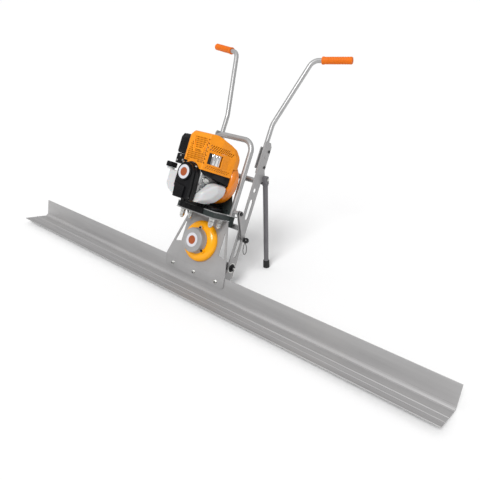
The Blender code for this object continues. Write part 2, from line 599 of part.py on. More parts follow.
def make_stand():
    """The kickstand on the right side bar; its hinge bolt stays in the bar's ear."""
    hinge = Vector(STAND_HINGE) - Vector(PIVOT)
    depth, height = STAND_HINGE[1], STAND_HINGE[2]
    up = FLANGE_HEIGHT + height * math.cos(PLATE_TILT) - depth * math.sin(PLATE_TILT)
    back = 0.070 + depth * math.cos(PLATE_TILT) + height * math.sin(PLATE_TILT)
    above_floor = ((up * math.cos(LEAN) - back * math.sin(LEAN))
                   + FOOT_WIDTH / 2 * math.sin(LEAN))
    foot_r = 0.016
    length = (above_floor - foot_r * math.sin(STAND_LEAN)) / math.cos(STAND_LEAN)
    out = 0.010
    leg = rod("stand_leg", 0.012, -length + 0.008, -0.010, "Z", (out, 0, 0), STAND,
              "dark_paint")
    join(leg, box("stand_head", (-0.0125, -0.0125, -0.030), (0.0225, 0.0125, 0.0125),
                  STAND))
    cut(leg, box("stand_slot", (-0.0033, -0.03, -0.0200), (0.0033, 0.03, 0.03), STAND),
        rod("stand_hole", 0.0046, -0.03, 0.03, "X", (0, 0, 0), STAND, steps=12))
    cup = [(foot_r, -length + 0.040), (foot_r, -length), (0, -length),
           (0, -length + 0.008 - GAP), (0.012 + GAP, -length + 0.008 - GAP),
           (0.012 + GAP, -length + 0.040)]
    turned("stand_foot", cup, "Z", (out, 0, 0), STAND, "rubber", 16, True)
    turned("stand_bolt", [(0, 0.0290), (0.0075, 0.0290), (0.0075, 0.0230), (0.004, 0.0230),
                          (0.004, -0.0130), (0.0075, -0.0130), (0.0075, -0.0185),
                          (0, -0.0185)], "X", hinge, FOLD, "steel", 12)


make_blade()
make_mounting_plate()
make_mounts()
make_exciter()
make_belt_drive()
make_engine()
make_covers()
make_controls()
make_frame()
make_pivots_and_struts()
make_stand()
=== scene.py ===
"""The looks of the power screed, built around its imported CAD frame. Metres, +Z up."""
import json
import math

import bmesh
import bpy
from mathutils import Matrix, Vector


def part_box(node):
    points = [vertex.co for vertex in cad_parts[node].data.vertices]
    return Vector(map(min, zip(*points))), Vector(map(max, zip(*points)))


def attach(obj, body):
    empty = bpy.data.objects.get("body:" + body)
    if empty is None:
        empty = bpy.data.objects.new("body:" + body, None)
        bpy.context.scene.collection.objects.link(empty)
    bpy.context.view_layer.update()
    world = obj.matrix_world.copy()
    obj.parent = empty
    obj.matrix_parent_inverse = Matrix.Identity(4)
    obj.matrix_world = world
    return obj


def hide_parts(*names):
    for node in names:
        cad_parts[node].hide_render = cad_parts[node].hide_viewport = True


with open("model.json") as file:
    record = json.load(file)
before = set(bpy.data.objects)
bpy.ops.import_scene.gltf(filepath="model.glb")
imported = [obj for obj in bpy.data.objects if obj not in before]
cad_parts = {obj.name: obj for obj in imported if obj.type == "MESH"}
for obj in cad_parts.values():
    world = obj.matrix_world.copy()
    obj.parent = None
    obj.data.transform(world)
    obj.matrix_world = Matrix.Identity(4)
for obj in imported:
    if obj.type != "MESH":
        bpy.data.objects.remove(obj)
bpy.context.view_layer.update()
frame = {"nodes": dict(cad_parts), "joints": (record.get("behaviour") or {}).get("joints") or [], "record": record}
JOINTS = {joint["name"]: joint for joint in frame["joints"]}
MOUNTS = {mount["name"]: mount for mount in frame["record"]["mounts"]}
SIDES = (("left", -1), ("right", 1))


# Frames of reference: the blade, the leaning drive plate, the kickstand and the struts


def axes(origin, up):
    """A frame at a point whose X is the world's X and whose Z is up."""
    up = Vector(up).normalized()
    depth = up.cross(Vector((1, 0, 0)))
    turn = Matrix(((1, 0, 0), depth, up)).transposed()
    return Matrix.Translation(origin) @ turn.to_4x4()


EXCITER_Z = 0.119                  # heights up the drive plate
CRANK_Z = 0.41
CRANK_AT = Vector(JOINTS["crank_spin"]["pos_m"])
EXCITER_AT = Vector(JOINTS["exciter_spin"]["pos_m"])
PLATE_UP = (CRANK_AT - EXCITER_AT).normalized()
DRIVE = axes(EXCITER_AT - PLATE_UP * EXCITER_Z, PLATE_UP)


def joint_at(name):
    """A joint's place in the drive plate's frame."""
    return DRIVE.inverted() @ Vector(JOINTS[name]["pos_m"])


BLADE = axes((0, 0, 0), -Vector(MOUNTS["blade_sole"]["axis"]))
STAND = axes(JOINTS["stand_fold"]["pos_m"], -Vector(MOUNTS["stand_foot_pad"]["axis"]))
PIVOT = joint_at("frame_fold")
FLOOR_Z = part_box("blade")[0].z


# Shapes


def link(name, mesh, at):
    obj = bpy.data.objects.new(name, mesh)
    bpy.context.scene.collection.objects.link(obj)
    obj.matrix_world = at
    return obj


def from_bmesh(name, bm, at):
    mesh = bpy.data.meshes.new(name)
    bmesh.ops.recalc_face_normals(bm, faces=bm.faces)
    bm.to_mesh(mesh)
    bm.free()
    mesh.shade_smooth()
    mesh.set_sharp_from_angle(angle=math.radians(35))
    return link(name, mesh, at)


def bow(centre, wide, high, degrees):
    """Points of an ellipse about centre, at the given angles."""
    turns = [math.radians(a) for a in degrees]
    return [(centre[0] + wide * math.cos(t), centre[1] + high * math.sin(t)) for t in turns]


def arc(centre, radius, start, end, steps=12):
    return bow(centre, radius, radius, [start + (end - start) * i / steps for i in range(steps + 1)])


def circle(centre, radius, steps=32):
    return arc(centre, radius, 0, 360, steps)[:-1]


def slot(x, low, high, radius, steps=12):
    top = arc((x, high - radius), radius, 0, 180, steps)
    return top + arc((x, low + radius), radius, 180, 360, steps)


def mirrored(points):
    return points + [(-a, b) for a, b in reversed(points)]


def rounded(points, radius, closed=False, steps=5):
    """The path with its corners turned into arcs. Radius is one number, or one per corner."""
    spots = [Vector(p) for p in points]
    count = len(spots)
    path = [] if closed else [spots[0]]
    corners = range(count) if closed else range(1, count - 1)
    for i in corners:
        before, corner, after = spots[i - 1], spots[i], spots[(i + 1) % count]
        back, ahead = before - corner, after - corner
        reach = 0.48 * min(back.length, ahead.length)
        back.normalize()
        ahead.normalize()
        half = math.acos(max(-1.0, min(1.0, back.dot(ahead)))) / 2
        wish = radius[i if closed else i - 1] if hasattr(radius, "__len__") else radius
        if math.pi / 2 - half < 0.01 or wish <= 0:
            path.append(corner)
            continue
        r = min(wish, reach * math.tan(half))
        middle = corner + (back + ahead).normalized() * r / math.sin(half)
        first = corner + back * r / math.tan(half) - middle
        last = corner + ahead * r / math.tan(half) - middle
        sweep = math.pi - 2 * half
        for k in range(steps + 1):
            t = k / steps
            path.append(middle + (first * math.sin((1 - t) * sweep)
                + last * math.sin(t * sweep)) / math.sin(sweep))
    if not closed:
        path.append(spots[-1])
    return path


AXES = {"X": Matrix(((0, 0, 1), (1, 0, 0), (0, 1, 0))), "Y": Matrix(((1, 0, 0), (0, 0, 1), (0, 1, 0))),
    "Z": Matrix.Identity(3)}


def lathe(name, profile, axis="Y", at=(0, 0, 0), steps=64, place=None, closed=False, phase=0.0):
    """A profile of (radius, distance along the axis), turned about the axis through at."""
    bm = bmesh.new()
    turn = AXES[axis]
    rings = []
    for r, along in profile:
        count = steps if r > 1e-6 else 1
        ring = []
        for j in range(count):
            a = 2 * math.pi * j / steps + phase
            spot = turn @ Vector((r * math.cos(a), r * math.sin(a), along))
            ring.append(bm.verts.new(spot + Vector(at)))
        rings.append(ring)
    pairs = list(zip(rings, rings[1:])) + ([(rings[-1], rings[0])] if closed else [])
    for a, b in pairs:
        for j in range(steps):
            k = (j + 1) % steps
            loop = [a[j % len(a)], a[k % len(a)], b[k % len(b)], b[j % len(b)]]
            loop = list(dict.fromkeys(loop))
            if len(loop) > 2:
                bm.faces.new(loop)
    return from_bmesh(name, bm, place or DRIVE)


def soft_lathe(name, profile, radius, axis="Y", at=(0, 0, 0), steps=64, place=None, closed=False):
    """A turned shape whose profile has rounded corners."""
    return lathe(name, rounded(profile, radius, closed, 4), axis, at, steps, place, closed)


def rod(name, radius, start, end, axis="Y", at=(0, 0, 0), steps=32, place=None, edge=0.0):
    if edge:
        profile = [(0, end), (radius - edge, end), (radius, end - edge), (radius, start + edge),
            (radius - edge, start), (0, start)]
    else:
        profile = [(0, end), (radius, end), (radius, start), (0, start)]
    return lathe(name, profile, axis, at, steps, place)


FACING = {"X": Matrix.Rotation(math.pi / 2, 4, "Z") @ Matrix.Rotation(math.pi / 2, 4, "X"),
    "Y": Matrix.Rotation(math.pi / 2, 4, "X"), "Z": Matrix.Identity(4)}


def swept(name, curve, paths, cyclic, turn=Matrix.Identity(4)):
    """The curve's own bevel or extrusion along the paths, as a bmesh."""
    for path in paths:
        spline = curve.splines.new("POLY")
        spline.points.add(len(path) - 1)
        for point, spot in zip(spline.points, path):
            point.co = Vector(spot).to_4d()
        spline.use_cyclic_u = cyclic
    sketch = link(name, curve, Matrix.Identity(4))
    shape = sketch.evaluated_get(bpy.context.evaluated_depsgraph_get())
    mesh = bpy.data.meshes.new_from_object(shape)
    bpy.data.objects.remove(sketch, do_unlink=True)
    mesh.transform(turn)
    bm = bmesh.new()
    bm.from_mesh(mesh)
    bpy.data.meshes.remove(mesh)
    bmesh.ops.remove_doubles(bm, verts=bm.verts, dist=1e-6)
    return bm


def prism(name, outlines, facing, low, high, place=None):
    """Outlines, the first of them solid and the rest holes, from low to high.
    Facing X: (y, z) points; Y: (x, z); Z: (x, y)."""
    curve = bpy.data.curves.new(name, "CURVE")
    curve.dimensions = "2D"
    curve.fill_mode = "BOTH"
    curve.extrude = (high - low) / 2
    shift = Vector(axis == facing for axis in "XYZ") * (low + high) / 2
    bm = swept(name, curve, outlines, True, Matrix.Translation(shift) @ FACING[facing])
    bmesh.ops.dissolve_limit(bm, angle_limit=0.002, verts=bm.verts, edges=bm.edges)
    return from_bmesh(name, bm, place or DRIVE)


def block(name, low, high, place=None):
    bm = bmesh.new()
    bmesh.ops.create_cube(bm, size=1)
    size = Vector(high) - Vector(low)
    bmesh.ops.scale(bm, vec=size, verts=bm.verts)
    bmesh.ops.translate(bm, vec=(Vector(low) + Vector(high)) / 2, verts=bm.verts)
    return from_bmesh(name, bm, place or DRIVE)


def row(name, low, high, step, count):
    """Equal blocks, each moved by step from the one before."""
    return [block(name, Vector(low) + i * Vector(step), Vector(high) + i * Vector(step))
        for i in range(count)]


def tube(name, path, radius, place=None, cyclic=False, sides=6):
    curve = bpy.data.curves.new(name, "CURVE")
    curve.dimensions = "3D"
    curve.bevel_depth = radius
    curve.bevel_resolution = sides
    curve.use_fill_caps = True
    return from_bmesh(name, swept(name, curve, [path], cyclic), place or DRIVE)


def cad_copy(name, node):
    """The node's own shape as a new mesh with whole flat faces, ready for rounding."""
    bm = bmesh.new()
    bm.from_mesh(frame["nodes"][node].data)
    bmesh.ops.remove_doubles(bm, verts=bm.verts, dist=1e-5)
    bmesh.ops.dissolve_limit(bm, angle_limit=0.004, verts=bm.verts, edges=bm.edges)
    bmesh.ops.transform(bm, matrix=DRIVE.inverted(), verts=bm.verts)
    return from_bmesh(name, bm, DRIVE)


def applied(obj):
    shape = obj.evaluated_get(bpy.context.evaluated_depsgraph_get())
    mesh = bpy.data.meshes.new_from_object(shape)
    obj.modifiers.clear()
    obj.data = mesh
    mesh.shade_smooth()
    mesh.set_sharp_from_angle(angle=math.radians(35))
    return obj


def joined(name, objs):
    """One mesh out of several objects that share a frame."""
    bm = bmesh.new()
    place = objs[0].matrix_world.copy()
    for obj in objs:
        bm.from_mesh(obj.data)
        bpy.data.objects.remove(obj, do_unlink=True)
    return from_bmesh(name, bm, place)


def combine(obj, tools, operation):
    tool = tools[0] if len(tools) == 1 else joined("tool", list(tools))
    step = obj.modifiers.new("combine", "BOOLEAN")
    step.operation = operation
    step.object = tool
    step.solver = "EXACT"
    applied(obj)
    bpy.data.objects.remove(tool, do_unlink=True)
    return obj


def cut(obj, *tools):
    return combine(obj, tools, "DIFFERENCE")


def merge(obj, tool):
    return combine(obj, [tool], "UNION")


def soften(obj, width, segments=2, angle=32):
    """Rounds the edges, and evens the normals of the flat faces between them."""
    step = obj.modifiers.new("rounding", "BEVEL")
    step.width = width
    step.segments = segments
    step.limit_method = "ANGLE"
    step.angle_limit = math.radians(angle)
    step.use_clamp_overlap = True
    step.harden_normals = True
    return obj


def softened(obj, width, segments=2, angle=32):
    """Rounds the edges for good, so that the shape can be cut or joined after it."""
    soften(obj, width, segments, angle)
    obj.modifiers["rounding"].harden_normals = False
    return applied(obj)


def melt(obj, grain, rounds):
    """Turns a cut shape into one even, softly rounded skin, as blow-moulding does."""
    skin = obj.modifiers.new("skin", "REMESH")
    skin.mode = "VOXEL"
    skin.voxel_size = grain
    flow = obj.modifiers.new("flow", "SMOOTH")
    flow.iterations = rounds
    flow.factor = 0.6
    return applied(obj)


def hexagon(name, radius, start, end, axis, at, place=None, chamfer=0.0012):
    """A hexagon head or nut whose outer face, at end, has its corners turned off."""
    sign = 1 if end > start else -1
    profile = [(0, end), (radius * 0.84, end), (radius, end - sign * chamfer), (radius, start),
        (0, start)]
    obj = lathe(name, profile, axis, at, 6, place, phase=math.pi / 6)
    obj.data.shade_flat()
    return obj


def thread(name, radius, start, end, axis, at, place=None, pitch=0.0012):
    """A stud with its thread shown as fine rings."""
    count = max(2, int(abs(end - start) / pitch))
    profile = [(0, start)]
    for i in range(count):
        a = start + (end - start) * i / count
        b = start + (end - start) * (i + 0.5) / count
        profile += [(radius * 0.93, a), (radius, b)]
    profile += [(radius * 0.8, end), (0, end)]
    return lathe(name, profile, axis, at, 20, place)


# Materials


def add(tree, kind, *links, **values):
    """A new node with its sockets set, fed by links of (output, input's name)."""
    made = tree.nodes.new("ShaderNode" + kind)
    for name, value in values.items():
        made.inputs[name.replace("_", " ")].default_value = value
    for output, name in links:
        tree.links.new(output, made.inputs[name])
    return made


def noise(tree, vector, scale, detail, **values):
    spots = add(tree, "TexNoise", (vector, "Vector"), Scale=scale, Detail=detail, **values)
    return spots.outputs["Fac"]


def remapped(tree, value, **values):
    return add(tree, "MapRange", (value, "Value"), **values).outputs[0]


def blended(tree, amount, colour_out, other):
    mix = tree.nodes.new("ShaderNodeMix")
    mix.data_type = "RGBA"
    tree.links.new(amount, mix.inputs["Factor"])
    tree.links.new(colour_out, mix.inputs["A"])
    mix.inputs["B"].default_value = (*other, 1)
    return mix.outputs["Result"]


LOOKS = {}


def look(name, colour, roughness, metallic=0.0, scale=30.0, stretch=(1, 1, 1), shade=0.06, spread=0.08,
        bump=0.15, grain=900.0, coat=0.0, subsurface=0.0, grime=None, specular=0.5):
    """A finish with cloudy colour, uneven gloss and a fine grain; grime adds stains."""
    material = bpy.data.materials.new(name)
    material.use_nodes = True
    tree = material.node_tree
    coords = add(tree, "TexCoord").outputs["Object"]
    stretched = add(tree, "Mapping", (coords, "Vector"), Scale=stretch).outputs[0]
    cloud = noise(tree, stretched, scale, 5)
    ramp = add(tree, "ValToRGB", (cloud, "Fac"))
    for stop, place, change in zip(ramp.color_ramp.elements, (0.3, 0.7), (-shade, shade)):
        stop.position = place
        stop.color = (*(min(1, c * (1 + change)) for c in colour), 1)
    colour_out = ramp.outputs["Color"]
    if grime:
        spots = noise(tree, coords, scale * 0.37, 8, Roughness=0.65)
        stains = remapped(tree, spots, From_Min=0.52, From_Max=0.78, To_Max=0.7)
        colour_out = blended(tree, stains, colour_out, grime)
    gloss = remapped(tree, cloud, To_Min=max(0.02, roughness - spread),
        To_Max=min(1.0, roughness + spread))
    relief = add(tree, "Bump", (noise(tree, stretched, grain, 3), "Height"), Strength=bump,
        Distance=0.0003)
    shader = tree.nodes["Principled BSDF"]
    for output, socket in ((colour_out, "Base Color"), (gloss, "Roughness"),
            (relief.outputs["Normal"], "Normal")):
        tree.links.new(output, shader.inputs[socket])
    for socket, value in (("Metallic", metallic), ("Coat Weight", coat), ("Coat Roughness", 0.08),
            ("Specular IOR Level", specular), ("Subsurface Weight", subsurface),
            ("Subsurface Scale", 0.01)):
        shader.inputs[socket].default_value = value
    LOOKS[name] = material


look("blade_metal", (0.45, 0.445, 0.445), 0.5, 0.55, 6, (0.5, 9, 9), 0.06, 0.1, 0.2, 60,
    grime=(0.5, 0.49, 0.48))
look("grey_paint", (0.365, 0.36, 0.36), 0.42, 0.3, 14, shade=0.06, bump=0.1, grain=700)
look("tube_paint", (0.43, 0.43, 0.43), 0.33, 0.55, 18, shade=0.05, bump=0.08, grain=600)
look("dark_paint", (0.026, 0.034, 0.033), 0.36, 0.0, 22, shade=0.2, bump=0.12, grain=600, specular=0.4)
look("stand_paint", (0.145, 0.14, 0.15), 0.42, 0.25, 20, shade=0.08, bump=0.12, grain=700)
look("amber_paint", (0.95, 0.395, 0.002), 0.24, 0.0, 9, shade=0.05, spread=0.05, bump=0.04, grain=300,
    coat=0.3, specular=0.3)
look("zinc_steel", (0.62, 0.62, 0.6), 0.26, 1.0, 60, shade=0.08, bump=0.08, grain=900)
look("ground_steel", (0.5, 0.5, 0.51), 0.28, 1.0, 60, (1, 6, 1), shade=0.06, bump=0.08)
look("iron", (0.19, 0.19, 0.19), 0.6, 0.8, 40, shade=0.12, bump=0.3, grain=400)
look("cast_alloy", (0.42, 0.42, 0.42), 0.42, 0.85, 50, shade=0.14, bump=0.35, grain=500,
    grime=(0.1, 0.1, 0.1))
look("black_steel", (0.01, 0.01, 0.011), 0.28, 0.0, 60, shade=0.2, bump=0.08, specular=0.4)
look("rubber", (0.012, 0.012, 0.012), 0.58, 0.0, 40, shade=0.2, bump=0.2, grain=500, specular=0.35)
look("grip_rubber", (0.76, 0.155, 0.003), 0.55, 0.0, 25, shade=0.06, bump=0.2, grain=700, specular=0.25)
look("orange_plastic", (0.86, 0.285, 0.008), 0.42, 0.0, 16, shade=0.06, bump=0.12, grain=800,
    specular=0.3)
# Glossy orange of the fan housing, darker than the shroud's orange: part of that darkness is painted shade for the
# shadow it sits in.
look("orange_gloss", (0.74, 0.205, 0.004), 0.2, 0.0, 12, shade=0.06, bump=0.05, grain=500, coat=0.5)
look("black_plastic", (0.005, 0.005, 0.006), 0.32, 0.0, 30, shade=0.25, bump=0.25, grain=650,
    specular=0.22)
look("tank_plastic", (0.6, 0.6, 0.605), 0.3, 0.0, 8, shade=0.03, spread=0.05, bump=0.05, grain=300,
    subsurface=0.2, coat=0.2)
look("chrome", (0.78, 0.78, 0.78), 0.12, 1.0, 20, shade=0.04, spread=0.05, bump=0.04, grain=400)
look("ceramic", (0.85, 0.85, 0.82), 0.2, 0.0, 20, shade=0.03, bump=0.03)
look("badge_white", (0.62, 0.62, 0.66), 0.35, 0.0, 40, shade=0.03, bump=0.05)
look("badge_dark", (0.34, 0.07, 0.015), 0.35, 0.0, 40, shade=0.05, bump=0.05)


def piece(obj, slot_name, *nodes, body="root", finish=None):
    """Gives a piece its finish and its body, and hides the CAD nodes that it stands for."""
    obj.data.materials.clear()
    obj.data.materials.append(LOOKS[finish or slot_name])
    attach(obj, body)
    if nodes:
        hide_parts(*nodes)
    return obj


# The blade

BLADE_HALF = (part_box("blade")[1].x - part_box("blade")[0].x) / 2
FOOT = 0.147 / 2
FLANGE = 0.1
WALL = 0.004


def make_blade():
    root = FOOT - WALL
    profile = [(-FOOT + 0.0006, 0), (FOOT - 0.0012, 0), (FOOT, 0.0012), (FOOT, FLANGE - 0.0006),
        (FOOT - 0.0006, FLANGE), (root + 0.0006, FLANGE), (root, FLANGE - 0.0006), (root, 0.0215),
        (root + 0.001, 0.0208), (root + 0.001, 0.0192), (root, 0.0185), (root - 0.0003, 0.015)]
    profile += rounded([(root - 0.0006, 0.014), (root - 0.003, 0.0128), (root - 0.0095, 0.0072),
        (root - 0.0105, 0.0042)], 0.004, steps=6)
    profile += [(root - 0.011, WALL), (root - 0.015, WALL), (root - 0.0156, 0.0033),
        (root - 0.017, 0.0033), (root - 0.0176, WALL), (0.0062, WALL)]
    profile += bow((0.0012, WALL), 0.003, 0.0026, range(0, 181, 20))
    profile += [(-0.0045, WALL - 0.0003), (-0.033, WALL - 0.0003), (-0.0336, WALL + 0.0004),
        (-0.0352, WALL + 0.0004), (-0.0358, WALL - 0.0003), (-FOOT + 0.006, WALL - 0.0003),
        (-FOOT + 0.0044, WALL + 0.0004), (-FOOT + 0.0008, WALL + 0.0004), (-FOOT, WALL - 0.0004),
        (-FOOT, 0.0006)]
    blade = prism("blade_extrusion", [profile], "X", -BLADE_HALF, BLADE_HALF, BLADE)
    piece(blade, "blade_metal", "blade")
    for name, x in (("left", -0.14), ("mid", 0.0), ("right", 0.14)):
        spot = (x, 0, 0.068)
        front = 0.065
        washer = rod(f"flange_washer_{name}", 0.0105, front - 0.0016, front, "Y", spot, 40, BLADE,
            0.0003)
        piece(washer, "zinc_steel")
        nut = hexagon(f"flange_nut_{name}", 0.0085, front - 0.0016, front - 0.0056, "Y", spot, BLADE)
        piece(nut, "zinc_steel", f"blade_bolt_{name}")
        stud = thread(f"flange_stud_{name}", 0.004, front - 0.005, front - 0.0066, "Y", spot, BLADE)
        piece(stud, "black_steel")
        head = joined(f"flange_head_{name}", [
            hexagon("head", 0.0085, FOOT + 0.002, FOOT + 0.008, "Y", spot, BLADE),
            rod("washer", 0.01, FOOT + 0.0002, FOOT + 0.002, "Y", spot, 40, BLADE)])
        piece(head, "zinc_steel")


# The drive plate


def make_plate():
    plate = soften(cad_copy("drive_plate", "mounting_plate"), 0.0007, 2)
    piece(plate, "grey_paint", "mounting_plate")
    for name, x in SIDES:
        seam = [(x * (0.015 + 0.034 * i), -0.0005 - 0.0008 * (i % 2), 0.2432) for i in range(4)]
        weld = tube(f"platform_weld_{name}", seam, 0.0018)
        piece(weld, "grey_paint")


MOUNT_SPOTS = {f"{end}_{name}": (side * 0.09, depth) for name, side in SIDES
    for end, depth in (("front", -0.085), ("rear", -0.027))}


def make_mounts():
    for name, (x, y) in MOUNT_SPOTS.items():
        spot = (x, y, 0)
        bobbin = soft_lathe(f"bobbin_{name}",
            [(0, 0.27), (0.018, 0.27), (0.018, 0.266), (0.015, 0.262), (0.015, 0.258), (0.018, 0.254),
            (0.018, 0.25), (0, 0.25)], 0.002, "Z", spot, 40)
        piece(bobbin, "rubber", f"rubber_mount_{name}")
        plates = joined(f"mount_washers_{name}", [
            rod("top", 0.0178, 0.2702, 0.2718, "Z", spot, 40, edge=0.0003),
            rod("low", 0.0178, 0.2482, 0.2498, "Z", spot, 40, edge=0.0003)])
        piece(plates, "zinc_steel")
        dome = bow((0, 0.213), 0.0102, -0.013, range(0, 91, 10))
        nut = joined(f"mount_nut_{name}", [
            rod("washer", 0.0135, 0.2405, 0.2435, "Z", spot, 40, edge=0.0004),
            hexagon("nut", 0.0122, 0.24, 0.229, "Z", spot),
            hexagon("locknut", 0.0118, 0.228, 0.212, "Z", spot),
            lathe("dome", dome + [(0, 0.2132), (0.0102, 0.2132)], "Z", spot, 32)])
        piece(nut, "zinc_steel")


HOOP_X = 0.115
HOOP_R = 0.013


def make_bracket():
    low, high = 0.272, 0.276
    floor = mirrored([(0.112, -0.11), (0.112, -0.02), (0.1325, -0.012), (0.1325, 0.032), (0.09, 0.032),
        (0.09, -0.004)])
    tray = soften(prism("bracket_floor", [floor], "Z", low, high), 0.0006, 2)
    piece(tray, "dark_paint", "engine_bracket")
    # A lighter painted band round the tray's top edge: a painted highlight for the light its cut edge catches.
    rim = prism("bracket_edge_highlight", [shrunk(floor, -0.0005), shrunk(floor, 0.0035)], "Z", low + 0.0003,
        high + 0.0002)
    piece(rim, "tube_paint")
    skirt = mirrored([(0.112, -0.109), (0.112, -0.02), (0.1185, -0.01), (0.1185, 0.028),
        (0.113, 0.028)])
    inner = shrunk(skirt, 0.0035)
    skirt = prism("bracket_skirt", [skirt, inner], "Z", 0.2495, low)
    piece(skirt, "dark_paint")
    beam = block("front_beam", (-0.098, -0.115, 0.2495), (0.048, -0.104, 0.2925))
    softened(beam, 0.0025, 3)
    cut(beam, *row("notch", (-0.085, -0.118, 0.254), (-0.071, -0.1135, 0.27), (0.03, 0, 0), 4))
    piece(beam, "black_plastic")
    studs = [hexagon("stud", 0.0055, -0.1145, -0.1185, "Y", (x, 0, 0.2805)) for x in (-0.078, 0.028)]
    piece(joined("beam_bolts", studs), "black_steel")
    wall = mirrored([(0.112, 0.274), (0.112, 0.33), (0.06, 0.47)])
    wall = rounded(wall, (0.002, 0.01, 0.012, 0.012, 0.01, 0.002), True, 5)
    hub = circle((0, CRANK_Z), 0.03, 48)
    panel = soften(prism("bracket_wall", [wall, hub], "Y", -0.008, -0.004), 0.0007, 2)
    piece(panel, "dark_paint")
    bolts = [hexagon("bolt", 0.0052, -0.0082, -0.0125, "Y", (x, 0, z))
        for x, z in ((-0.095, 0.292), (0.095, 0.292), (0.06, 0.3), (-0.06, 0.3))]
    piece(joined("wall_bolts", bolts), "black_steel")
    for name, side in SIDES:
        ear = [(-0.012, 0.274), (0.012, 0.274), (0.012, 0.2975)]
        ear += arc((0, 0.2975), 0.012, 0, 180, 16)[1:]
        x = side * 0.1305
        plate = soften(prism(f"bracket_ear_{name}", [ear], "X", x - 0.002, x + 0.002), 0.0006, 2)
        piece(plate, "grey_paint")
        x = side * 0.1195
        tab = soften(block(f"bracket_tab_{name}", (x - 0.002, 0.002, 0.222), (x + 0.002, 0.031, 0.274)),
            0.0007, 2)
        piece(tab, "dark_paint")
    top = 0.635 - HOOP_R
    corners = [(-HOOP_X, 0.011, high), (-HOOP_X, 0.011, top), (HOOP_X, 0.011, top),
        (HOOP_X, 0.011, high)]
    hoop = tube("guard_hoop_tube", rounded(corners, 0.052, steps=16), HOOP_R, sides=10)
    piece(hoop, "tube_paint", "guard_hoop")
    for name, side in SIDES:
        foot = soft_lathe(f"hoop_weld_{name}",
            [(HOOP_R - 0.001, high + 0.006), (HOOP_R + 0.0008, high + 0.004),
            (HOOP_R + 0.0032, high + 0.0008), (HOOP_R + 0.0032, high + 0.0002),
            (HOOP_R - 0.001, high + 0.0002)], 0.001, "Z", (side * HOOP_X, 0.011, 0), 40, closed=True)
        piece(foot, "tube_paint")


# The exciter

CAP_SCREWS = (("top", 85), ("low", -35), ("side", 205))


def around_exciter(radius, degrees):
    x, z = bow((0, EXCITER_Z), radius, radius, (degrees,))[0]
    return (x, 0, z)


def make_exciter():
    hub = (0, 0, EXCITER_Z)
    profile = [(0.0965, -0.0048), (0.097, -0.0056)]
    profile += bow((0.063, -0.008), 0.034, -0.0265, range(0, 85, 6))
    profile += [(0.056, -0.0352), (0.047, -0.0352), (0.0462, -0.0345), (0.046, -0.0175),
        (0.0178, -0.0175), (0.0178, -0.0048)]
    housing = lathe("exciter_dome", profile, "Y", hub, 128, closed=True)
    lobes = [rod("lobe", 0.01, -0.041, -0.033, "Y", around_exciter(0.063, a), 32)
        for _, a in CAP_SCREWS]
    combine(housing, lobes, "UNION")
    piece(housing, "amber_paint", "exciter_housing")

    cap = soft_lathe("exciter_cover", [(0.0445, -0.0358), (0.06, -0.0358), (0.06, -0.04),
        (0.058, -0.042), (0.057, -0.069), (0.0535, -0.0725), (0.0405, -0.0725), (0.0398, -0.0716),
        (0, -0.0716), (0, -0.059), (0.0178, -0.059), (0.0178, -0.049), (0.0445, -0.047)], 0.0016, "Y",
        hub, 128)
    ears = []
    for _, angle in CAP_SCREWS:
        outer = rod("ear", 0.0078, -0.0446, -0.0404, "Y", around_exciter(0.063, angle), 32)
        inner = rod("ear", 0.0078, -0.0446, -0.0404, "Y", around_exciter(0.058, angle), 32)
        ears += [softened(outer, 0.0006, 2), inner]
    merge(cap, joined("ears", ears))
    piece(cap, "grey_paint", "exciter_cap")
    for name, angle in CAP_SCREWS:
        screw = socket_screw(f"cap_screw_{name}", 0.0047, -0.0446, -0.05, around_exciter(0.063, angle))
        piece(screw, "black_steel")
    badge("exciter", hub, 0.04, -0.0716, -0.0727)


def socket_screw(name, radius, start, end, at):
    """A cap screw with a hexagon socket, pointing to -Y."""
    socket = radius * 0.5
    depth = abs(end - start) * 0.6
    return lathe(name, [(0, end + depth), (socket, end + depth), (socket, end), (radius * 0.9, end),
        (radius, end + 0.0005), (radius, start), (0, start)], "Y", at, 24)


def badge(name, hub, radius, back, front):
    """A round label with plain rings."""
    ring = soft_lathe(f"{name}_badge_ring",
        [(0, back), (radius * 0.82, back), (radius * 0.82, front), (radius * 0.56, front),
        (radius * 0.56, front + 0.0004), (0, front + 0.0004)], 0.0002, "Y", hub, 96)
    piece(ring, "tank_plastic", finish="badge_white")
    disc = lathe(f"{name}_badge_disc", [(radius * 0.5, back), (radius * 0.5, front + 0.0001),
        (radius * 0.16, front + 0.0001), (radius * 0.14, front + 0.0003), (0, front + 0.0003)], "Y",
        hub, 96)
    piece(disc, "tank_plastic", finish="badge_dark")


# The engine's covers

SHROUD_PLAN = [(-0.058, -0.212), (0.06, -0.212), (0.088, -0.15), (0.098, -0.095), (0.11, -0.068),
    (0.11, -0.032), (-0.09, -0.032), (-0.09, -0.068), (-0.074, -0.095), (-0.062, -0.15)]
SHROUD_SIDE = [(-0.215, 0.434), (-0.215, 0.562), (-0.208, 0.59), (-0.18, 0.592), (-0.14, 0.581),
    (-0.1, 0.572), (-0.066, 0.559), (-0.046, 0.535), (-0.035, 0.503), (-0.032, 0.434)]
SHROUD_FRONT = [(-0.095, 0.43), (0.113, 0.43), (0.113, 0.512), (0.101, 0.558), (0.078, 0.6),
    (-0.034, 0.6), (-0.046, 0.576), (-0.095, 0.52)]
STARTER_HUB = (0.003, 0, 0.405)
FAN_HUB = (0.012, 0, CRANK_Z + 0.005)


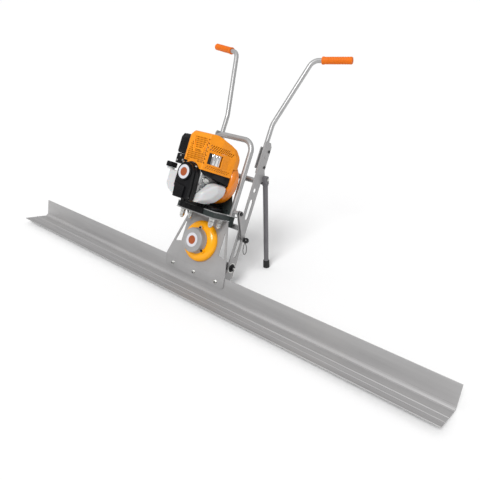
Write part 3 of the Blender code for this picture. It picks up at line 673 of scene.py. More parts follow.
def shrunk(outline, amount):
    """The outline moved inwards along its corners' bisectors."""
    spots = [Vector(p) for p in outline]
    area = sum(a.x * b.y - b.x * a.y for a, b in zip(spots, spots[1:] + spots[:1]))
    sign = 1 if area > 0 else -1
    result = []
    for i, spot in enumerate(spots):
        ahead = (spots[(i + 1) % len(spots)] - spot).normalized()
        back = (spot - spots[i - 1]).normalized()
        normal = Vector((-back.y - ahead.y, back.x + ahead.x)) * sign
        normal.normalize()
        bend = max(0.4, normal.dot(Vector((-ahead.y, ahead.x)) * sign))
        result.append(spot + normal * amount / bend)
    return result


def shroud_shell(name, inset):
    plan = shrunk(SHROUD_PLAN, inset)
    plan = rounded(plan, max(0.001, 0.01 - inset), True, 5)
    side = shrunk(SHROUD_SIDE, inset)
    side = rounded(side, (0, 0.014, 0.014, 0.03, 0.03, 0.03, 0.03, 0.02, 0.01, 0), True, 5)
    front = rounded(shrunk(SHROUD_FRONT, inset), 0.016, True, 5)
    if inset:
        side = [(y, z if z > 0.45 else 0.4) for y, z in side]
        front = [(x, z if z > 0.45 else 0.4) for x, z in front]
    shell = prism(name, [plan], "Z", 0.38, 0.62)
    combine(shell, [prism("side", [side], "X", -0.13, 0.13)], "INTERSECT")
    return combine(shell, [prism("front", [front], "Y", -0.25, 0)], "INTERSECT")


def capsule(name, at, length, radius, lean, depth, facing):
    """A slot-shaped cutter that leans from the vertical by lean degrees."""
    turn = math.radians(lean)
    spots = []
    for sign, start in ((1, 0), (-1, 180)):
        for a in range(start, start + 181, 36):
            t = math.radians(a)
            u = radius * math.cos(t)
            v = sign * length / 2 + radius * math.sin(t)
            spots.append((at[0] + u * math.cos(turn) + v * math.sin(turn),
                at[1] - u * math.sin(turn) + v * math.cos(turn)))
    return prism(name, [spots], facing, *depth)


def front_vents():
    """Slanted slots all over the shroud's front, except its ridges and the arch."""
    slots = []
    pitch = 0.0084
    for row in range(13):
        z = 0.464 + row * pitch
        for column in range(-7, 9):
            x = (column + (row % 2) / 2) * pitch
            grow = (z - 0.512) * 0.3
            left, right = -0.0125 - grow, 0.04 + grow
            in_arch = math.hypot(x - 0.002, z - 0.403) < 0.064
            ridge = z > 0.505 and min(abs(x - left), abs(x - right)) < 0.0062
            line = abs(z - 0.5115) < 0.005 and left < x < right
            start = -0.046 + 0.2 * max(0, z - 0.48)
            if in_arch or not start < x < 0.062 or ridge or line or z > 0.566:
                continue
            slots.append(capsule("slot", (x, z), 0.004, 0.0021, -38, (-0.22, -0.2), "Y"))
    slots.append(capsule("slot", (0.009, 0.512), 0.03, 0.0013, 92, (-0.22, -0.2), "Y"))
    return slots


def side_vents(side):
    """Rows of slots above and below the window, and a dotted field behind it."""
    slots = []
    depth = (0.045, 0.13) if side > 0 else (-0.12, -0.045)
    for row, z in enumerate((0.5255, 0.5345, 0.543)):
        for i in range(12):
            y = -0.196 + 0.0098 * i + 0.0049 * (row % 2)
            if row < 2 or y < -0.1:
                slots.append(capsule("slot", (y, z), 0.0042, 0.0025, 38, depth, "X"))
    for row, z in enumerate((0.4455, 0.4535)):
        for i in range(12):
            y = -0.196 + 0.0098 * i + 0.0049 * row
            slots.append(capsule("slot", (y, z), 0.0036, 0.0021, 38, depth, "X"))
    for row in range(9):
        for i in range(8):
            at = (-0.117 + 0.006 * i + 0.003 * (row % 2), 0.466 + 0.006 * row)
            dot = circle(at, 0.0013, 6)
            slots.append(prism("dot", [dot], "X", *depth))
    return slots


def make_shroud():
    shroud = shroud_shell("shroud_body", 0)
    softened(shroud, 0.005, 4, 25)
    for at, lean in (((-0.0205, 0.542), -16.0), ((0.049, 0.54), 20.0)):
        ridge = capsule("ridge", at, 0.052, 0.0026, lean, (-0.215, -0.205), "Y")
        merge(shroud, softened(ridge, 0.0016, 3, 40))
    frame_out = [(-0.2035, 0.458), (-0.2035, 0.5175), (-0.126, 0.5175), (-0.126, 0.458)]
    frame_out = rounded(frame_out, 0.004, True, 3)
    merge(shroud, slanted_bezel(frame_out))
    cut(shroud, shroud_shell("room", 0.0026))
    cut(shroud, block("window", (0.03, -0.198, 0.464), (0.12, -0.132, 0.512)))
    cut(shroud, capsule("ridge_hole", (0.0575, 0.564), 0.002, 0.0022, 60, (-0.22, -0.2), "Y"))
    cut(shroud, rod("arch", 0.0545, -0.23, -0.185, "Y", (0.002, 0, 0.403), 64))
    cut(shroud, block("left", (-0.09, -0.23, 0.4), (-0.03, -0.05, 0.458)))
    cut(shroud, *front_vents())
    cut(shroud, *side_vents(1))
    cut(shroud, *side_vents(-1))
    cut(shroud, rod("fan_gap", 0.115, -0.067, 0.01, "Y", FAN_HUB, 96))
    piece(shroud, "orange_plastic", "engine_shroud")


def shroud_reach(y):
    """How far the slanted side of the shroud's plan is from the middle, at a depth of y."""
    (x0, y0), (x1, y1) = SHROUD_PLAN[1:3] if y < -0.15 else SHROUD_PLAN[2:4]
    return x0 + (x1 - x0) * (y - y0) / (y1 - y0)


def slanted_bezel(outline):
    """The raised border of the side window, on the shroud's slanted side."""
    plan = [(shroud_reach(-0.2035) - 0.004, -0.2035), (shroud_reach(-0.2035) + 0.0016, -0.2035),
        (shroud_reach(-0.15) + 0.0022, -0.15), (shroud_reach(-0.126) + 0.0016, -0.126),
        (shroud_reach(-0.126) - 0.004, -0.126), (shroud_reach(-0.15) - 0.006, -0.15)]
    body = prism("bezel", [plan], "Z", 0.458, 0.5175)
    return combine(body, [prism("bezel_side", [outline], "X", 0.0, 0.2)], "INTERSECT")


def make_fan_housing():
    hub = FAN_HUB
    profile = bow((0.094, -0.03), 0.019, 0.0185, range(90, -1, -9))
    profile += bow((0.097, -0.042), 0.016, -0.023, range(0, 91, 9))
    profile += [(0.094, -0.065), (0.094, -0.06), (0.107, -0.052), (0.107, -0.024), (0.092, -0.0165),
        (0.034, -0.0165), (0.034, -0.0115)]
    housing = lathe("fan_volute", profile, "Y", hub, 128, closed=True)
    # The volute gets the glossy orange with painted shade in its colour.
    piece(housing, "orange_gloss", "fan_housing")
    for i, (x, z) in enumerate(bow((hub[0], hub[2]), 0.09, 0.09, (90, 210, 330))):
        screw = hexagon(f"fan_screw_{i}", 0.0055, -0.0112, -0.0085, "Y", (x, 0, z))
        piece(screw, "zinc_steel")


def make_starter():
    hub = STARTER_HUB
    outline = [(-0.022, 0.292), (0.054, 0.292), (0.056, 0.34)]
    outline += arc((hub[0], hub[2]), 0.047, 0, 180, 32) + [(-0.044, 0.35)]
    base = rounded(outline, 0.006, True, 4)
    tiers = []
    for inset, low, high, edge in ((0, -0.226, -0.201, 0.003), (0.004, -0.243, -0.224, 0.004)):
        shape = shrunk(base, inset) if inset else base
        tiers.append(softened(prism("tier", [shape], "Y", low, high), edge, 3, 40))
    cover = tiers[0]
    merge(cover, tiers[1])
    boss = soft_lathe("boss", [(0, -0.23), (0.0395, -0.23), (0.0375, -0.25), (0.033, -0.251),
        (0.032, -0.2496), (0, -0.2496)], 0.001, "Y", hub, 96)
    foot = [(-0.024, 0.2935), (0.028, 0.2935), (0.03, 0.345), (-0.03, 0.352)]
    foot = softened(prism("foot", [rounded(foot, 0.004, True, 4)], "Y", -0.2525, -0.23), 0.003, 3, 40)
    merge(cover, boss)
    merge(cover, foot)
    cut(cover, rod("starter_room", 0.036, -0.243, -0.19, "Y", (0, 0, CRANK_Z)))
    cut(cover, *row("line", (-0.02, -0.253, 0.3), (0.022, -0.2516, 0.3022), (0, 0, 0.007), 5))
    piece(cover, "black_plastic", "starter_cover")
    for i, (x, z) in enumerate(((-0.036, 0.445), (0.041, 0.44), (0.047, 0.303), (-0.036, 0.358))):
        screw = socket_screw(f"starter_screw_{i}", 0.0042, -0.224, -0.23, (x, 0, z))
        piece(screw, "zinc_steel")
    badge("starter", hub, 0.0372, -0.2496, -0.251)
    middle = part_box("starter_grip")
    middle = DRIVE.inverted() @ ((middle[0] + middle[1]) / 2)
    grip = soft_lathe("pull_handle", [(0, -0.0236), (0.0062, -0.0236), (0.009, -0.019), (0.008, -0.009),
        (0.0088, 0), (0.008, 0.009), (0.009, 0.019), (0.0062, 0.0236), (0, 0.0236)], 0.002, "Z", middle,
        32)
    piece(grip, "black_plastic", "starter_grip", body="pull_grip")


def make_air_cleaner():
    low, high = (-0.128, -0.19, 0.48), (-0.074, -0.085, 0.572)
    outline = [(low[1], low[2]), (high[1], low[2]), (high[1], high[2] - 0.004),
        (low[1] + 0.012, high[2]), (low[1], high[2] - 0.02)]
    outline = rounded(outline, 0.01, True, 5)
    body = softened(prism("air_box", [outline], "X", low[0] + 0.012, high[0]), 0.004, 3)
    lid = softened(prism("lid", [shrunk(outline, 0.001)], "X", low[0], low[0] + 0.0112), 0.0045, 3)
    ribs = row("rib", (low[0] - 0.0005, -0.176, 0.497), (low[0] + 0.0008, -0.172, 0.553), (0, 0.014, 0), 6)
    cut(lid, *ribs)
    cut(body, *row("louvre", (-0.116, -0.195, 0.5), (-0.086, -0.187, 0.5035), (0, 0, 0.01), 5))
    piece(body, "black_plastic", "air_cleaner_cover")
    lid.name = "air_box_lid"
    piece(lid, "black_plastic")
    knob = soft_lathe("air_box_knob", [(0, -0.004), (0.0075, -0.004), (0.008, 0.0035), (0, 0.0035)],
        0.001, "X", (low[0], -0.136, 0.57 - 0.045), 24)
    piece(knob, "black_plastic")


def make_carburettor():
    body = softened(block("carburettor_body", (-0.11, -0.16, 0.452), (-0.076, -0.1, 0.4795)), 0.003, 3)
    cut(body, rod("pocket", 0.0108, -0.125, -0.1, "X", (0, -0.118, 0.4658)))
    piece(body, "cast_alloy", "carburettor")
    bits = [
        soft_lathe("bowl", [(0, 0.44), (0.012, 0.44), (0.013, 0.452), (0, 0.452)], 0.002, "Z",
            (-0.093, -0.135, 0), 32),
        hexagon("drain", 0.004, 0.44, 0.4365, "Z", (-0.093, -0.135, 0)),
        rod("neck", 0.011, -0.076, -0.058, "X", (0, -0.128, 0.466), 32),
        rod("needle", 0.0028, -0.176, -0.16, "Y", (-0.0835, 0, 0.47), 16),
        rod("needle_b", 0.0028, -0.172, -0.16, "Y", (-0.0835, 0, 0.461), 16),
        hexagon("union", 0.0048, -0.16, -0.166, "Y", (-0.0985, 0, 0.464))]
    piece(joined("carburettor_fittings", bits), "cast_alloy")
    guard = softened(block("intake_guard", (-0.124, -0.19, 0.434), (-0.064, -0.17, 0.479)), 0.005, 3)
    cut(guard, *row("groove", (-0.118, -0.193, 0.442), (-0.072, -0.1885, 0.445), (0, 0, 0.008), 4))
    piece(guard, "black_plastic")
    bits = [
        soft_lathe("clamp", [(0, -0.19), (0.0048, -0.19), (0.0044, -0.1945), (0, -0.195)], 0.001, "Y",
            (x, 0, z), 24) for x, z in ((-0.112, 0.446), (-0.096, 0.47), (-0.078, 0.452))]
    piece(joined("intake_clamps", bits), "cast_alloy")
    bulb = soft_lathe("primer_dome", [(0, 0), (0.01, 0), (0.0096, -0.0035), (0.0062, -0.008),
        (0, -0.0092)], 0.003, "X", (-0.1105, -0.118, 0.4658), 32)
    piece(bulb, "rubber", "primer_bulb", body="primer")


LEVERS = (("throttle", "ground_steel", (-0.1125, -0.145, 0.45), 1),
    ("choke", "black_plastic", (-0.1305, -0.11, 0.5), -1))


def make_levers():
    outline = arc((0, 0), 0.007, 170, 370, 20) + arc((0, 0.0245), 0.0042, 0, 180, 10)
    for name, slot_name, (x, y, z), flip in LEVERS:
        spots = [(y + flip * a, z + b) for a, b in outline]
        eye = circle((y, z + 0.0225), 0.0014, 16)
        lever = prism(f"{name}_arm", [spots, eye], "X", x - 0.0015, x + 0.0015)
        piece(soften(lever, 0.0004, 2), slot_name, f"{name}_lever", body=name)
        screw = hexagon(f"{name}_screw", 0.0042, x - 0.0015, x - 0.0045, "X", (0, y, z))
        piece(screw, "zinc_steel", body=name)


def make_muffler():
    """The bright silencer in the side window, and the dark shield in front of it."""
    plan = [(0.043, -0.176), (0.07, -0.176), (0.0815, -0.15), (0.087, -0.12), (0.087, -0.1),
        (0.043, -0.1)]
    body = softened(prism("silencer", [plan], "Z", 0.458, 0.517), 0.006, 4)
    piece(body, "chrome", "muffler")
    seams = []
    for x, y, radius in ((0.071, -0.169, 0.0052), (0.0765, -0.156, 0.0058), (0.0815, -0.142, 0.005)):
        seams.append(soft_lathe("rib", [(0, 0.46), (radius, 0.46), (radius, 0.515), (0, 0.515)], 0.002,
            "Z", (x, y, 0), 24))
    piece(joined("silencer_ribs", seams), "chrome")
    plan = [(0.04, -0.2), (0.058, -0.2), (0.068, -0.179), (0.068, -0.1765), (0.04, -0.1765)]
    shield = soften(prism("heat_shield", [plan], "Z", 0.456, 0.518), 0.002, 3)
    piece(shield, "black_steel")


FILLER = joint_at("cap_turn")


def make_tank():
    outline = [(-0.173, 0.388), (-0.151, 0.344), (-0.12, 0.314), (-0.078, 0.2935), (0.062, 0.2935),
        (0.101, 0.314), (0.12, 0.352), (0.121, 0.39), (0.06, 0.396), (0.06, 0.328), (-0.06, 0.328),
        (-0.06, 0.4), (-0.17, 0.4)]
    outline = rounded(outline, 0.02, True, 6)
    plan = [(-0.134, -0.195), (0.086, -0.195), (0.122, -0.132), (0.122, -0.075), (-0.15, -0.08),
        (-0.178, -0.105), (-0.178, -0.152)]
    plan = rounded(plan, 0.02, True, 6)
    tank = prism("tank_shell", [outline], "Y", -0.195, -0.076)
    combine(tank, [prism("plan", [plan], "Z", 0.28, 0.42)], "INTERSECT")
    top = [(-0.21, 0.322), (-0.184, 0.352), (-0.15, 0.386), (-0.12, 0.396), (-0.12, 0.43),
        (-0.21, 0.43)]
    low = [(-0.15, 0.28), (-0.116, 0.301), (-0.09, 0.34), (-0.079, 0.384), (-0.06, 0.384),
        (-0.06, 0.28)]
    for name, shape, reach in (("top", top, 0.04), ("low", low, 0.05)):
        shape = rounded(shape, reach, True, 6)
        cut(tank, prism(name, [shape], "X", 0.05, 0.13))
    melt(tank, 0.0026, 34)
    piece(tank, "tank_plastic", "fuel_tank")
    spot = (FILLER.x, FILLER.y, 0)
    neck = soft_lathe("filler_collar", [(0, 0.398), (0.0175, 0.398), (0.0175, 0.4045), (0.016, 0.4078),
        (0, 0.4078)], 0.0012, "Z", spot, 40)
    piece(neck, "tank_plastic")
    cap = soft_lathe("cap_body", [(0, 0.4083), (0.0232, 0.4083), (0.0232, 0.43), (0.021, 0.432),
        (0.013, 0.432), (0.012, 0.4308), (0, 0.4308)], 0.001, "Z", spot, 64)
    ribs = [rod("rib", 0.0015, 0.4095, 0.429, "Z", (x, y, 0), 10)
        for x, y in bow(spot, 0.0228, 0.0228, range(0, 360, 15))]
    cap = joined("fuel_cap_body", [cap] + ribs)
    piece(cap, "black_plastic", "fuel_cap", body="filler_cap")


def socket_head(radius, low, high, y, z):
    return soft_lathe("head", [(0, low), (radius, low), (radius, high), (0, high)], 0.0004, "X",
        (0, y, z), 20)


def make_crankcase():
    """The castings that show between the covers, and the black skirts around them."""
    low, high = (-0.056, -0.196, 0.332), (0.056, -0.076, 0.454)
    case = softened(block("crankcase_casting", low, high), 0.006, 3)
    piece(case, "cast_alloy", "crankcase")
    bosses = []
    for y, z in ((-0.189, 0.372), (-0.178, 0.356), (-0.12, 0.372)):
        bosses.append(soft_lathe("boss", [(0, 0.05), (0.008, 0.05), (0.0072, 0.06), (0, 0.06)], 0.001,
            "X", (0, y, z), 24))
        bosses.append(hexagon("bolt", 0.0048, 0.06, 0.0635, "X", (0, y, z)))
    fins = row("fin", (0.05, -0.19, 0.34), (0.0585, -0.187, 0.392), (0, 0.012, 0), 5)
    bosses += [softened(fin, 0.0008, 1) for fin in fins]
    piece(joined("crankcase_bosses", bosses), "cast_alloy")
    lump = [(-0.185, 0.402), (-0.165, 0.409), (-0.137, 0.397), (-0.14, 0.383), (-0.158, 0.378),
        (-0.18, 0.386)]
    lump = softened(prism("breather_cover", [lump], "X", 0.05, 0.064), 0.004, 3)
    screws = [socket_head(0.0026, 0.0635, 0.0655, y, z)
        for y, z in ((-0.177, 0.396), (-0.148, 0.393), (-0.158, 0.385))]
    merge(lump, joined("screws", screws))
    piece(lump, "zinc_steel")
    skirt = [(0.056, -0.203), (0.084, -0.152), (0.096, -0.094), (0.107, -0.07), (0.107, -0.0675),
        (0.05, -0.0675), (0.05, -0.203)]
    skirt = prism("skirt", [rounded(skirt, 0.004, True, 3)], "Z", 0.39, 0.4345)
    side = [(-0.205, 0.4345), (-0.19, 0.416), (-0.16, 0.412), (-0.11, 0.406), (-0.067, 0.396),
        (-0.067, 0.4345)]
    combine(skirt, [prism("skirt_side", [side], "X", 0.0, 0.2)], "INTERSECT")
    softened(skirt, 0.002, 2)
    skirt.name = "shroud_skirt"
    piece(skirt, "black_plastic")


def make_base():
    base = softened(block("engine_foot", (-0.092, -0.108, 0.2745), (0.092, -0.03, 0.2915)), 0.003, 3)
    cut(base, *row("rib", (-0.08, -0.109, 0.277), (-0.076, -0.1, 0.29), (0.016, 0, 0), 11))
    piece(base, "black_plastic")
    for name, side in SIDES:
        post = soften(block(f"engine_post_{name}", (side * 0.066 - 0.01, -0.1, 0.29),
            (side * 0.066 + 0.01, -0.0815, 0.293)), 0.001, 2)
        piece(post, "black_plastic")
    lug = soften(block("engine_nose", (-0.034, -0.15, 0.2755), (0.034, -0.104, 0.2925)), 0.003, 3)
    piece(lug, "black_plastic")


# The handle frame

GAP = 0.0003                       # between neighbours that don't touch
BAR_X = 0.15
BAR_HALF = 0.0025
BAR_OUT = BAR_X + BAR_HALF + GAP
BAR_IN = BAR_X - BAR_HALF - GAP


def bar_outline(side):
    front, rear = 0.0485, 0.1035
    hinge = joint_at("stand_fold")
    ear = [(rear, hinge.z - 0.022)] + arc((hinge.y, hinge.z), 0.012, -60, 90, 20)
    ear.append((rear, hinge.z + 0.036))
    low, high = -0.02, 0.642
    return (arc((rear - 0.02, low + 0.02), 0.02, 270, 360, 12) + (ear if side > 0 else [])
        + [(rear, high - 0.018), (rear - 0.014, high), (front + 0.006, high), (front, high - 0.01)]
        + arc((front + 0.02, low + 0.02), 0.02, 180, 270, 12))


def make_side_bars():
    y, z = PIVOT.y, PIVOT.z
    for name, side in SIDES:
        holes = [circle((y, z), 0.0066), circle((y, z + 0.373), 0.0105),
            slot(y, z + 0.049, z + 0.1355, 0.012), slot(y, z + 0.2315, z + 0.3306, 0.012),
            circle((y, z + 0.528), 0.003, 16)]
        if side > 0:
            hinge = joint_at("stand_fold")
            holes.append(circle((hinge.y, hinge.z), 0.0046))
        x = side * BAR_X
        bar = prism(f"bar_{name}", [bar_outline(side)] + holes, "X", x - BAR_HALF, x + BAR_HALF)
        piece(soften(bar, 0.0007, 2), "grey_paint", f"side_bar_{name}", body="handle_frame")


TUBE_R = 0.011
TUBE_X = BAR_IN - TUBE_R


def handle_path(side):
    corners = [(side * TUBE_X, 0, 0.452), (side * TUBE_X, 0.004, 0.682), (side * 0.222, 0.038, 0.998),
        (side * 0.392, 0.071, 1.026)]
    corners = [Vector(c) + PIVOT for c in corners]
    return rounded(corners, (0.1, 0.045), steps=16)


def make_handles():
    for name, side in SIDES:
        path = handle_path(side)
        handle = tube(f"handle_tube_{name}", path, TUBE_R, sides=10)
        piece(handle, "tube_paint", f"handle_{name}", body="handle_frame")
        along = (path[-1] - path[-2]).normalized()
        turn = Vector((0, 0, 1)).rotation_difference(along).to_matrix().to_4x4()
        place = DRIVE @ Matrix.Translation(path[-1]) @ turn
        sleeve = [(0, 0.0036), (0.006, 0.0036), (0.0066, 0.0024), (0.0142, 0.003), (0.0162, 0.0004),
            (0.0163, -0.006)]
        for i in range(9):
            start = -0.01 - 0.0112 * i
            sleeve += [(0.016, start), (0.0152, start - 0.0014), (0.0152, start - 0.0026),
                (0.016, start - 0.004)]
        sleeve += [(0.0157, -0.118), (0.0172, -0.124), (0.0172, -0.131), (0.016, -0.132),
            (0.0113, -0.132), (0.0113, -0.001), (0, -0.001)]
        grip = lathe(f"grip_sleeve_{name}", sleeve, "Z", (0, 0, 0), 48, place)
        piece(grip, "grip_rubber", f"grip_{name}", body="handle_frame")
        clamp = [(PIVOT.y + y, PIVOT.z + z) for y, z in ((-0.014, 0.473), (0.014, 0.473),
            (0.014, 0.573), (-0.014, 0.573))]
        clamp = rounded(clamp, 0.003, True, 4)
        x = side * (TUBE_X - TUBE_R - GAP - 0.002)
        plate = prism(f"clamp_{name}", [clamp], "X", x - 0.002, x + 0.002)
        piece(soften(plate, 0.0006, 2), "grey_paint", f"clamp_plate_{name}", body="handle_frame")
        for k, height in enumerate((0.486, 0.56)):
            z = PIVOT.z + height
            at = (0, PIVOT.y + 0.0005, z)
            outer, inner = side * BAR_OUT, x - side * 0.0022
            bolt = joined(f"clamp_bolt_{name}_{k}", [
                hexagon("head", 0.0065, outer, outer + side * 0.0042, "X", (0, PIVOT.y + 0.0165, z)),
                hexagon("nut", 0.0065, inner, inner - side * 0.0045, "X", at)])
            piece(bolt, "black_steel", body="handle_frame")


def make_cross_tubes():
    for name, y, z in (("lower", 0.07, 0.229), ("upper", 0.078, 0.459)):
        cross = tube(f"cross_bar_{name}", [(-BAR_IN, y, z), (BAR_IN, y, z)], 0.0125, sides=10)
        piece(cross, "tube_paint", f"cross_tube_{name}", body="handle_frame")
        for side_name, side in SIDES:
            weld = soft_lathe(f"cross_weld_{name}_{side_name}",
                [(0.012, side * (BAR_IN - 0.004)), (0.015, side * (BAR_IN - 0.001)),
                (0.0155, side * BAR_IN), (0.012, side * BAR_IN)], 0.0008, "X", (0, y, z), 40)
            piece(weld, "grey_paint", body="handle_frame")


def make_pivots():
    for name, side in SIDES:
        out = side * BAR_OUT
        inner = side * 0.1387
        bolt = joined(f"pivot_{name}", [
            soft_lathe("bush", [(0, out), (0.02, out), (0.02, out + side * 0.003),
                (0.015, out + side * 0.006), (0, out + side * 0.006)], 0.001, "X", PIVOT, 40),
            hexagon("nut", 0.013, out + side * 0.006, out + side * 0.015, "X", PIVOT),
            hexagon("head", 0.0105, inner, inner - side * 0.009, "X", PIVOT)])
        tip = joined(f"pivot_washer_{name}", [
            thread("stud", 0.006, out + side * 0.014, out + side * 0.02, "X", PIVOT),
            soft_lathe("washer", [(0.0085, out + side * 0.0001), (0.0245, out + side * 0.0001),
                (0.0245, out + side * 0.0016), (0.0085, out + side * 0.0016)], 0.0004, "X", PIVOT, 48,
                closed=True)])
        piece(tip, "zinc_steel")
        piece(bolt, "black_steel", f"pivot_bolt_{name}")


STRUT_X = 0.1655
STRUT_LENGTH = 0.13497             # from its upper bolt to its pin
STRUT_LEAN = 34.28                 # degrees forward of the drive plate


def make_struts():
    for name, side in SIDES:
        eye = joint_at(f"strut_swing_{name}")
        at = Vector((0, eye.y, eye.z))
        swing = Matrix.Rotation(math.radians(STRUT_LEAN), 4, "X")
        place = DRIVE @ Matrix.Translation(at) @ swing
        flats = []
        for shift in (-0.006, 0.006):
            flat = arc((0, 0), 0.0125, 0, 180, 20) + arc((0, -STRUT_LENGTH), 0.0115, 180, 360, 20)
            x = side * (STRUT_X + shift)
            flats.append(prism("flat", [flat, circle((0, 0), 0.0056),
                circle((0, -STRUT_LENGTH), 0.0051)], "X", x - 0.0015, x + 0.0015, place))
        web = block("web", (side * STRUT_X - 0.0065, 0.0085, -STRUT_LENGTH + 0.018),
            (side * STRUT_X + 0.0065, 0.0115, -0.016), place)
        strut = joined(f"strut_link_{name}", flats + [web])
        body = f"strut_link_{name}"
        piece(soften(strut, 0.0005, 2), "grey_paint", f"strut_{name}", body=body)
        out = side * 0.1733
        bolt = joined(f"strut_screw_{name}", [
            soft_lathe("washer", [(0, out), (0.01, out), (0.01, out + side * 0.0016),
                (0, out + side * 0.0016)], 0.0004, "X", at, 40),
            hexagon("head", 0.009, out + side * 0.0016, out + side * 0.0058, "X", at),
            rod("shank", 0.005, side * 0.1575, side * 0.174, "X", at)])
        piece(bolt, "black_steel", f"strut_bolt_{name}")
        collar = soft_lathe(f"strut_collar_{name}",
            [(0, side * 0.1328), (0.0085, side * 0.1328), (0.0085, side * 0.1575), (0, side * 0.1575)],
            0.001, "X", at, 40)
        piece(collar, "grey_paint")
        pin = soft_lathe(f"ball_pin_{name}", [(0, side * 0.1995), (0.004, side * 0.1993),
            (0.01, side * 0.1965), (0.0128, side * 0.1905), (0.013, side * 0.1865),
            (0.0112, side * 0.1805), (0.0088, side * 0.1785), (0.01, side * 0.1775),
            (0.01, side * 0.1738), (0.0045, side * 0.1736), (0.0045, side * 0.1545), (0, side * 0.154)],
            0.0025, "X", (0, 0, -STRUT_LENGTH), 48, place)
        piece(pin, "black_steel", f"strut_pin_{name}", body=f"pin_{name}")
        loop = wire_clip(f"pin_clip_{name}", side, place)
        piece(loop, "iron", body=f"pin_{name}")


def wire_clip(name, side, place):
    """The spring wire that hangs from the pin, with the short link it hangs by."""
    x = side * 0.1795
    swing = Matrix.Rotation(math.radians(-7.7), 4, "X")
    paths = []
    for path in (((-0.006, 0.002), (-0.0075, -0.008), (0, -0.0185), (0.0075, -0.008), (0.006, 0.002),
            (0, 0.0085)), ((0, -0.0125), (-0.007, -0.024), (-0.0135, -0.046), (-0.0105, -0.066),
            (0, -0.076), (0.0105, -0.066), (0.0135, -0.046), (0.007, -0.024))):
        spots = [swing @ Vector((0, y, z)) for y, z in path]
        spots = [Vector((x, p.y, p.z - STRUT_LENGTH)) for p in spots]
        paths.append(rounded(spots, 0.006, True, 4))
    wires = [tube("wire", path, 0.0019, place, True, 3) for path in paths]
    return joined(name, wires)


# The kickstand


def make_stand():
    foot_at = STAND.inverted() @ Vector(MOUNTS["stand_foot_pad"]["pos_m"])
    out, length = foot_at.x, -foot_at.z
    leg = tube("stand_tube", [(out, 0, -0.026), (out, 0, -length + 0.01)], 0.012, STAND, sides=10)
    piece(leg, "stand_paint", "stand_leg", body="stand")
    head = block("head", (-0.0125, -0.0125, -0.027), (0.0225, 0.0125, 0.0115), STAND)
    softened(head, 0.003, 3)
    cut(head, block("gap", (-0.0033, -0.03, -0.02), (0.0033, 0.03, 0.03), STAND),
        rod("hole", 0.0046, -0.03, 0.03, "X", (0, 0, 0), 24, STAND))
    head.name = "stand_clevis"
    piece(head, "stand_paint", body="stand")
    collar = soft_lathe("stand_collar", [(0.0121, -0.0262), (0.0138, -0.0266), (0.0138, -0.032),
        (0.0121, -0.0325)], 0.001, "Z", (out, 0, 0), 40, STAND)
    piece(collar, "stand_paint", body="stand")
    foot = soft_lathe("stand_shoe", [(0, -length), (0.015, -length), (0.016, -length + 0.0015),
        (0.016, -length + 0.006), (0.015, -length + 0.008), (0.016, -length + 0.01),
        (0.0155, -length + 0.036), (0.0138, -length + 0.04), (0.0121, -length + 0.04),
        (0.0121, -length + 0.01), (0, -length + 0.01)], 0.0008, "Z", (out, 0, 0), 48, STAND)
    piece(foot, "rubber", "stand_foot", body="stand")
    hinge = joint_at("stand_fold")
    base = hinge.x
    at = (0, hinge.y, hinge.z)
    bolt = joined("stand_screw", [
        hexagon("head", 0.0075, base + 0.0232, base + 0.0285, "X", at),
        rod("shank", 0.004, base - 0.013, base + 0.0232, "X", at),
        hexagon("nut", 0.0075, base - 0.0131, base - 0.0185, "X", at)])
    piece(bolt, "zinc_steel", "stand_bolt", body="handle_frame")


# The belt drive behind the plate


def band(radius, steps=40):
    return arc((0, CRANK_Z), radius, 0, 180, steps) + arc((0, EXCITER_Z), radius, 180, 360, steps)


def make_belt_guard():
    guard = prism("guard_cover", [band(0.046)], "Y", 0.0003, 0.0358)
    softened(guard, 0.004, 3, 40)
    cut(guard, prism("room", [band(0.0435)], "Y", -0.01, 0.0334))
    slots = []
    for i in range(9):
        z = 0.19 + 0.0175 * i
        slots.append(prism("slot", [rounded([(-0.026, z), (0.026, z), (0.026, z + 0.005),
            (-0.026, z + 0.005)], 0.0024, True, 4)], "Y", 0.03, 0.04))
    cut(guard, *slots)
    piece(guard, "black_plastic", "belt_guard")
    for i, (x, z) in enumerate(((0, CRANK_Z + 0.034), (0, EXCITER_Z - 0.034), (-0.036, 0.265),
            (0.036, 0.265))):
        screw = hexagon(f"guard_screw_{i}", 0.005, 0.0358, 0.0392, "Y", (x, 0, z))
        piece(screw, "zinc_steel")
    rim = soft_lathe("guard_hub", [(0.03, 0.0355), (0.033, 0.0372), (0.028, 0.038), (0, 0.0384)], 0.001,
        "Y", (0, 0, EXCITER_Z), 64)
    piece(rim, "black_plastic")


def finish_inner_nodes():
    """The pieces inside keep their CAD shape and get a worked finish."""
    slots = {part["node"]: part["material_slot"] for part in frame["record"]["subparts"]}
    for name, node in frame["nodes"].items():
        if not node.hide_render:
            node.data.materials.clear()
            node.data.materials.append(LOOKS[slots[name]])


# Floor, light and camera


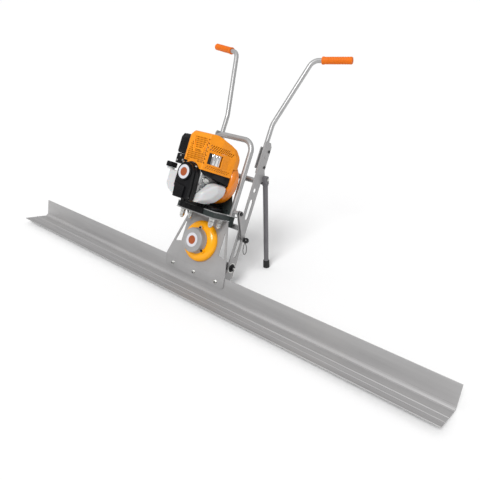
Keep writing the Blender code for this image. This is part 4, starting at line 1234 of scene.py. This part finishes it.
def make_studio():
    bm = bmesh.new()
    bmesh.ops.create_grid(bm, x_segments=1, y_segments=1, size=60)
    floor = from_bmesh("floor", bm, Matrix.Translation((0, 0, FLOOR_Z)))
    paper = bpy.data.materials.new("paper")
    paper.use_nodes = True
    shader = paper.node_tree.nodes["Principled BSDF"]
    shader.inputs["Base Color"].default_value = (0.93, 0.93, 0.93, 1)
    shader.inputs["Roughness"].default_value = 0.9
    shader.inputs["Specular IOR Level"].default_value = 0.1
    floor.data.materials.append(paper)

    world = bpy.data.worlds.new("studio")
    bpy.context.scene.world = world
    world.use_nodes = True
    tree = world.node_tree
    sky = tree.nodes["Background"]
    coords = add(tree, "TexCoord").outputs["Generated"]
    height = add(tree, "SeparateXYZ", (coords, "Vector")).outputs["Z"]
    ramp = add(tree, "ValToRGB", (height, "Fac"))
    stops = ((0.0, (0.45, 0.45, 0.46, 1)), (0.9, (1.0, 1.0, 1.0, 1)))
    for stop, (place, colour) in zip(ramp.color_ramp.elements, stops):
        stop.position = place
        stop.color = colour
    tree.links.new(ramp.outputs["Color"], sky.inputs["Color"])
    sky.inputs["Strength"].default_value = 0.75

    sun = bpy.data.lights.new("key", "SUN")
    sun.energy = 2.0
    sun.angle = math.radians(22)
    key = link("key", sun, Matrix.Identity(4))
    key.rotation_euler = Vector((-0.25, 0.9, -1.0)).to_track_quat("-Z", "Y").to_euler()
    bpy.context.scene.view_settings.view_transform = "Standard"

    lens = bpy.data.cameras.new("camera")
    lens.lens = 39.24
    lens.sensor_width = 36
    camera = link("camera", lens, Matrix.Identity(4))
    camera.location = (1.5526, -1.4071, 1.2859)
    camera.rotation_euler = (math.radians(63.488), 0, math.radians(40.392))
    bpy.context.scene.camera = camera


for make in (make_blade, make_plate, make_mounts, make_bracket, make_exciter, make_shroud,
        make_fan_housing, make_starter, make_air_cleaner, make_carburettor, make_levers, make_muffler,
        make_tank, make_crankcase, make_base, make_side_bars, make_handles, make_cross_tubes,
        make_pivots, make_struts, make_stand, make_belt_guard, finish_inner_nodes, make_studio):
    make()
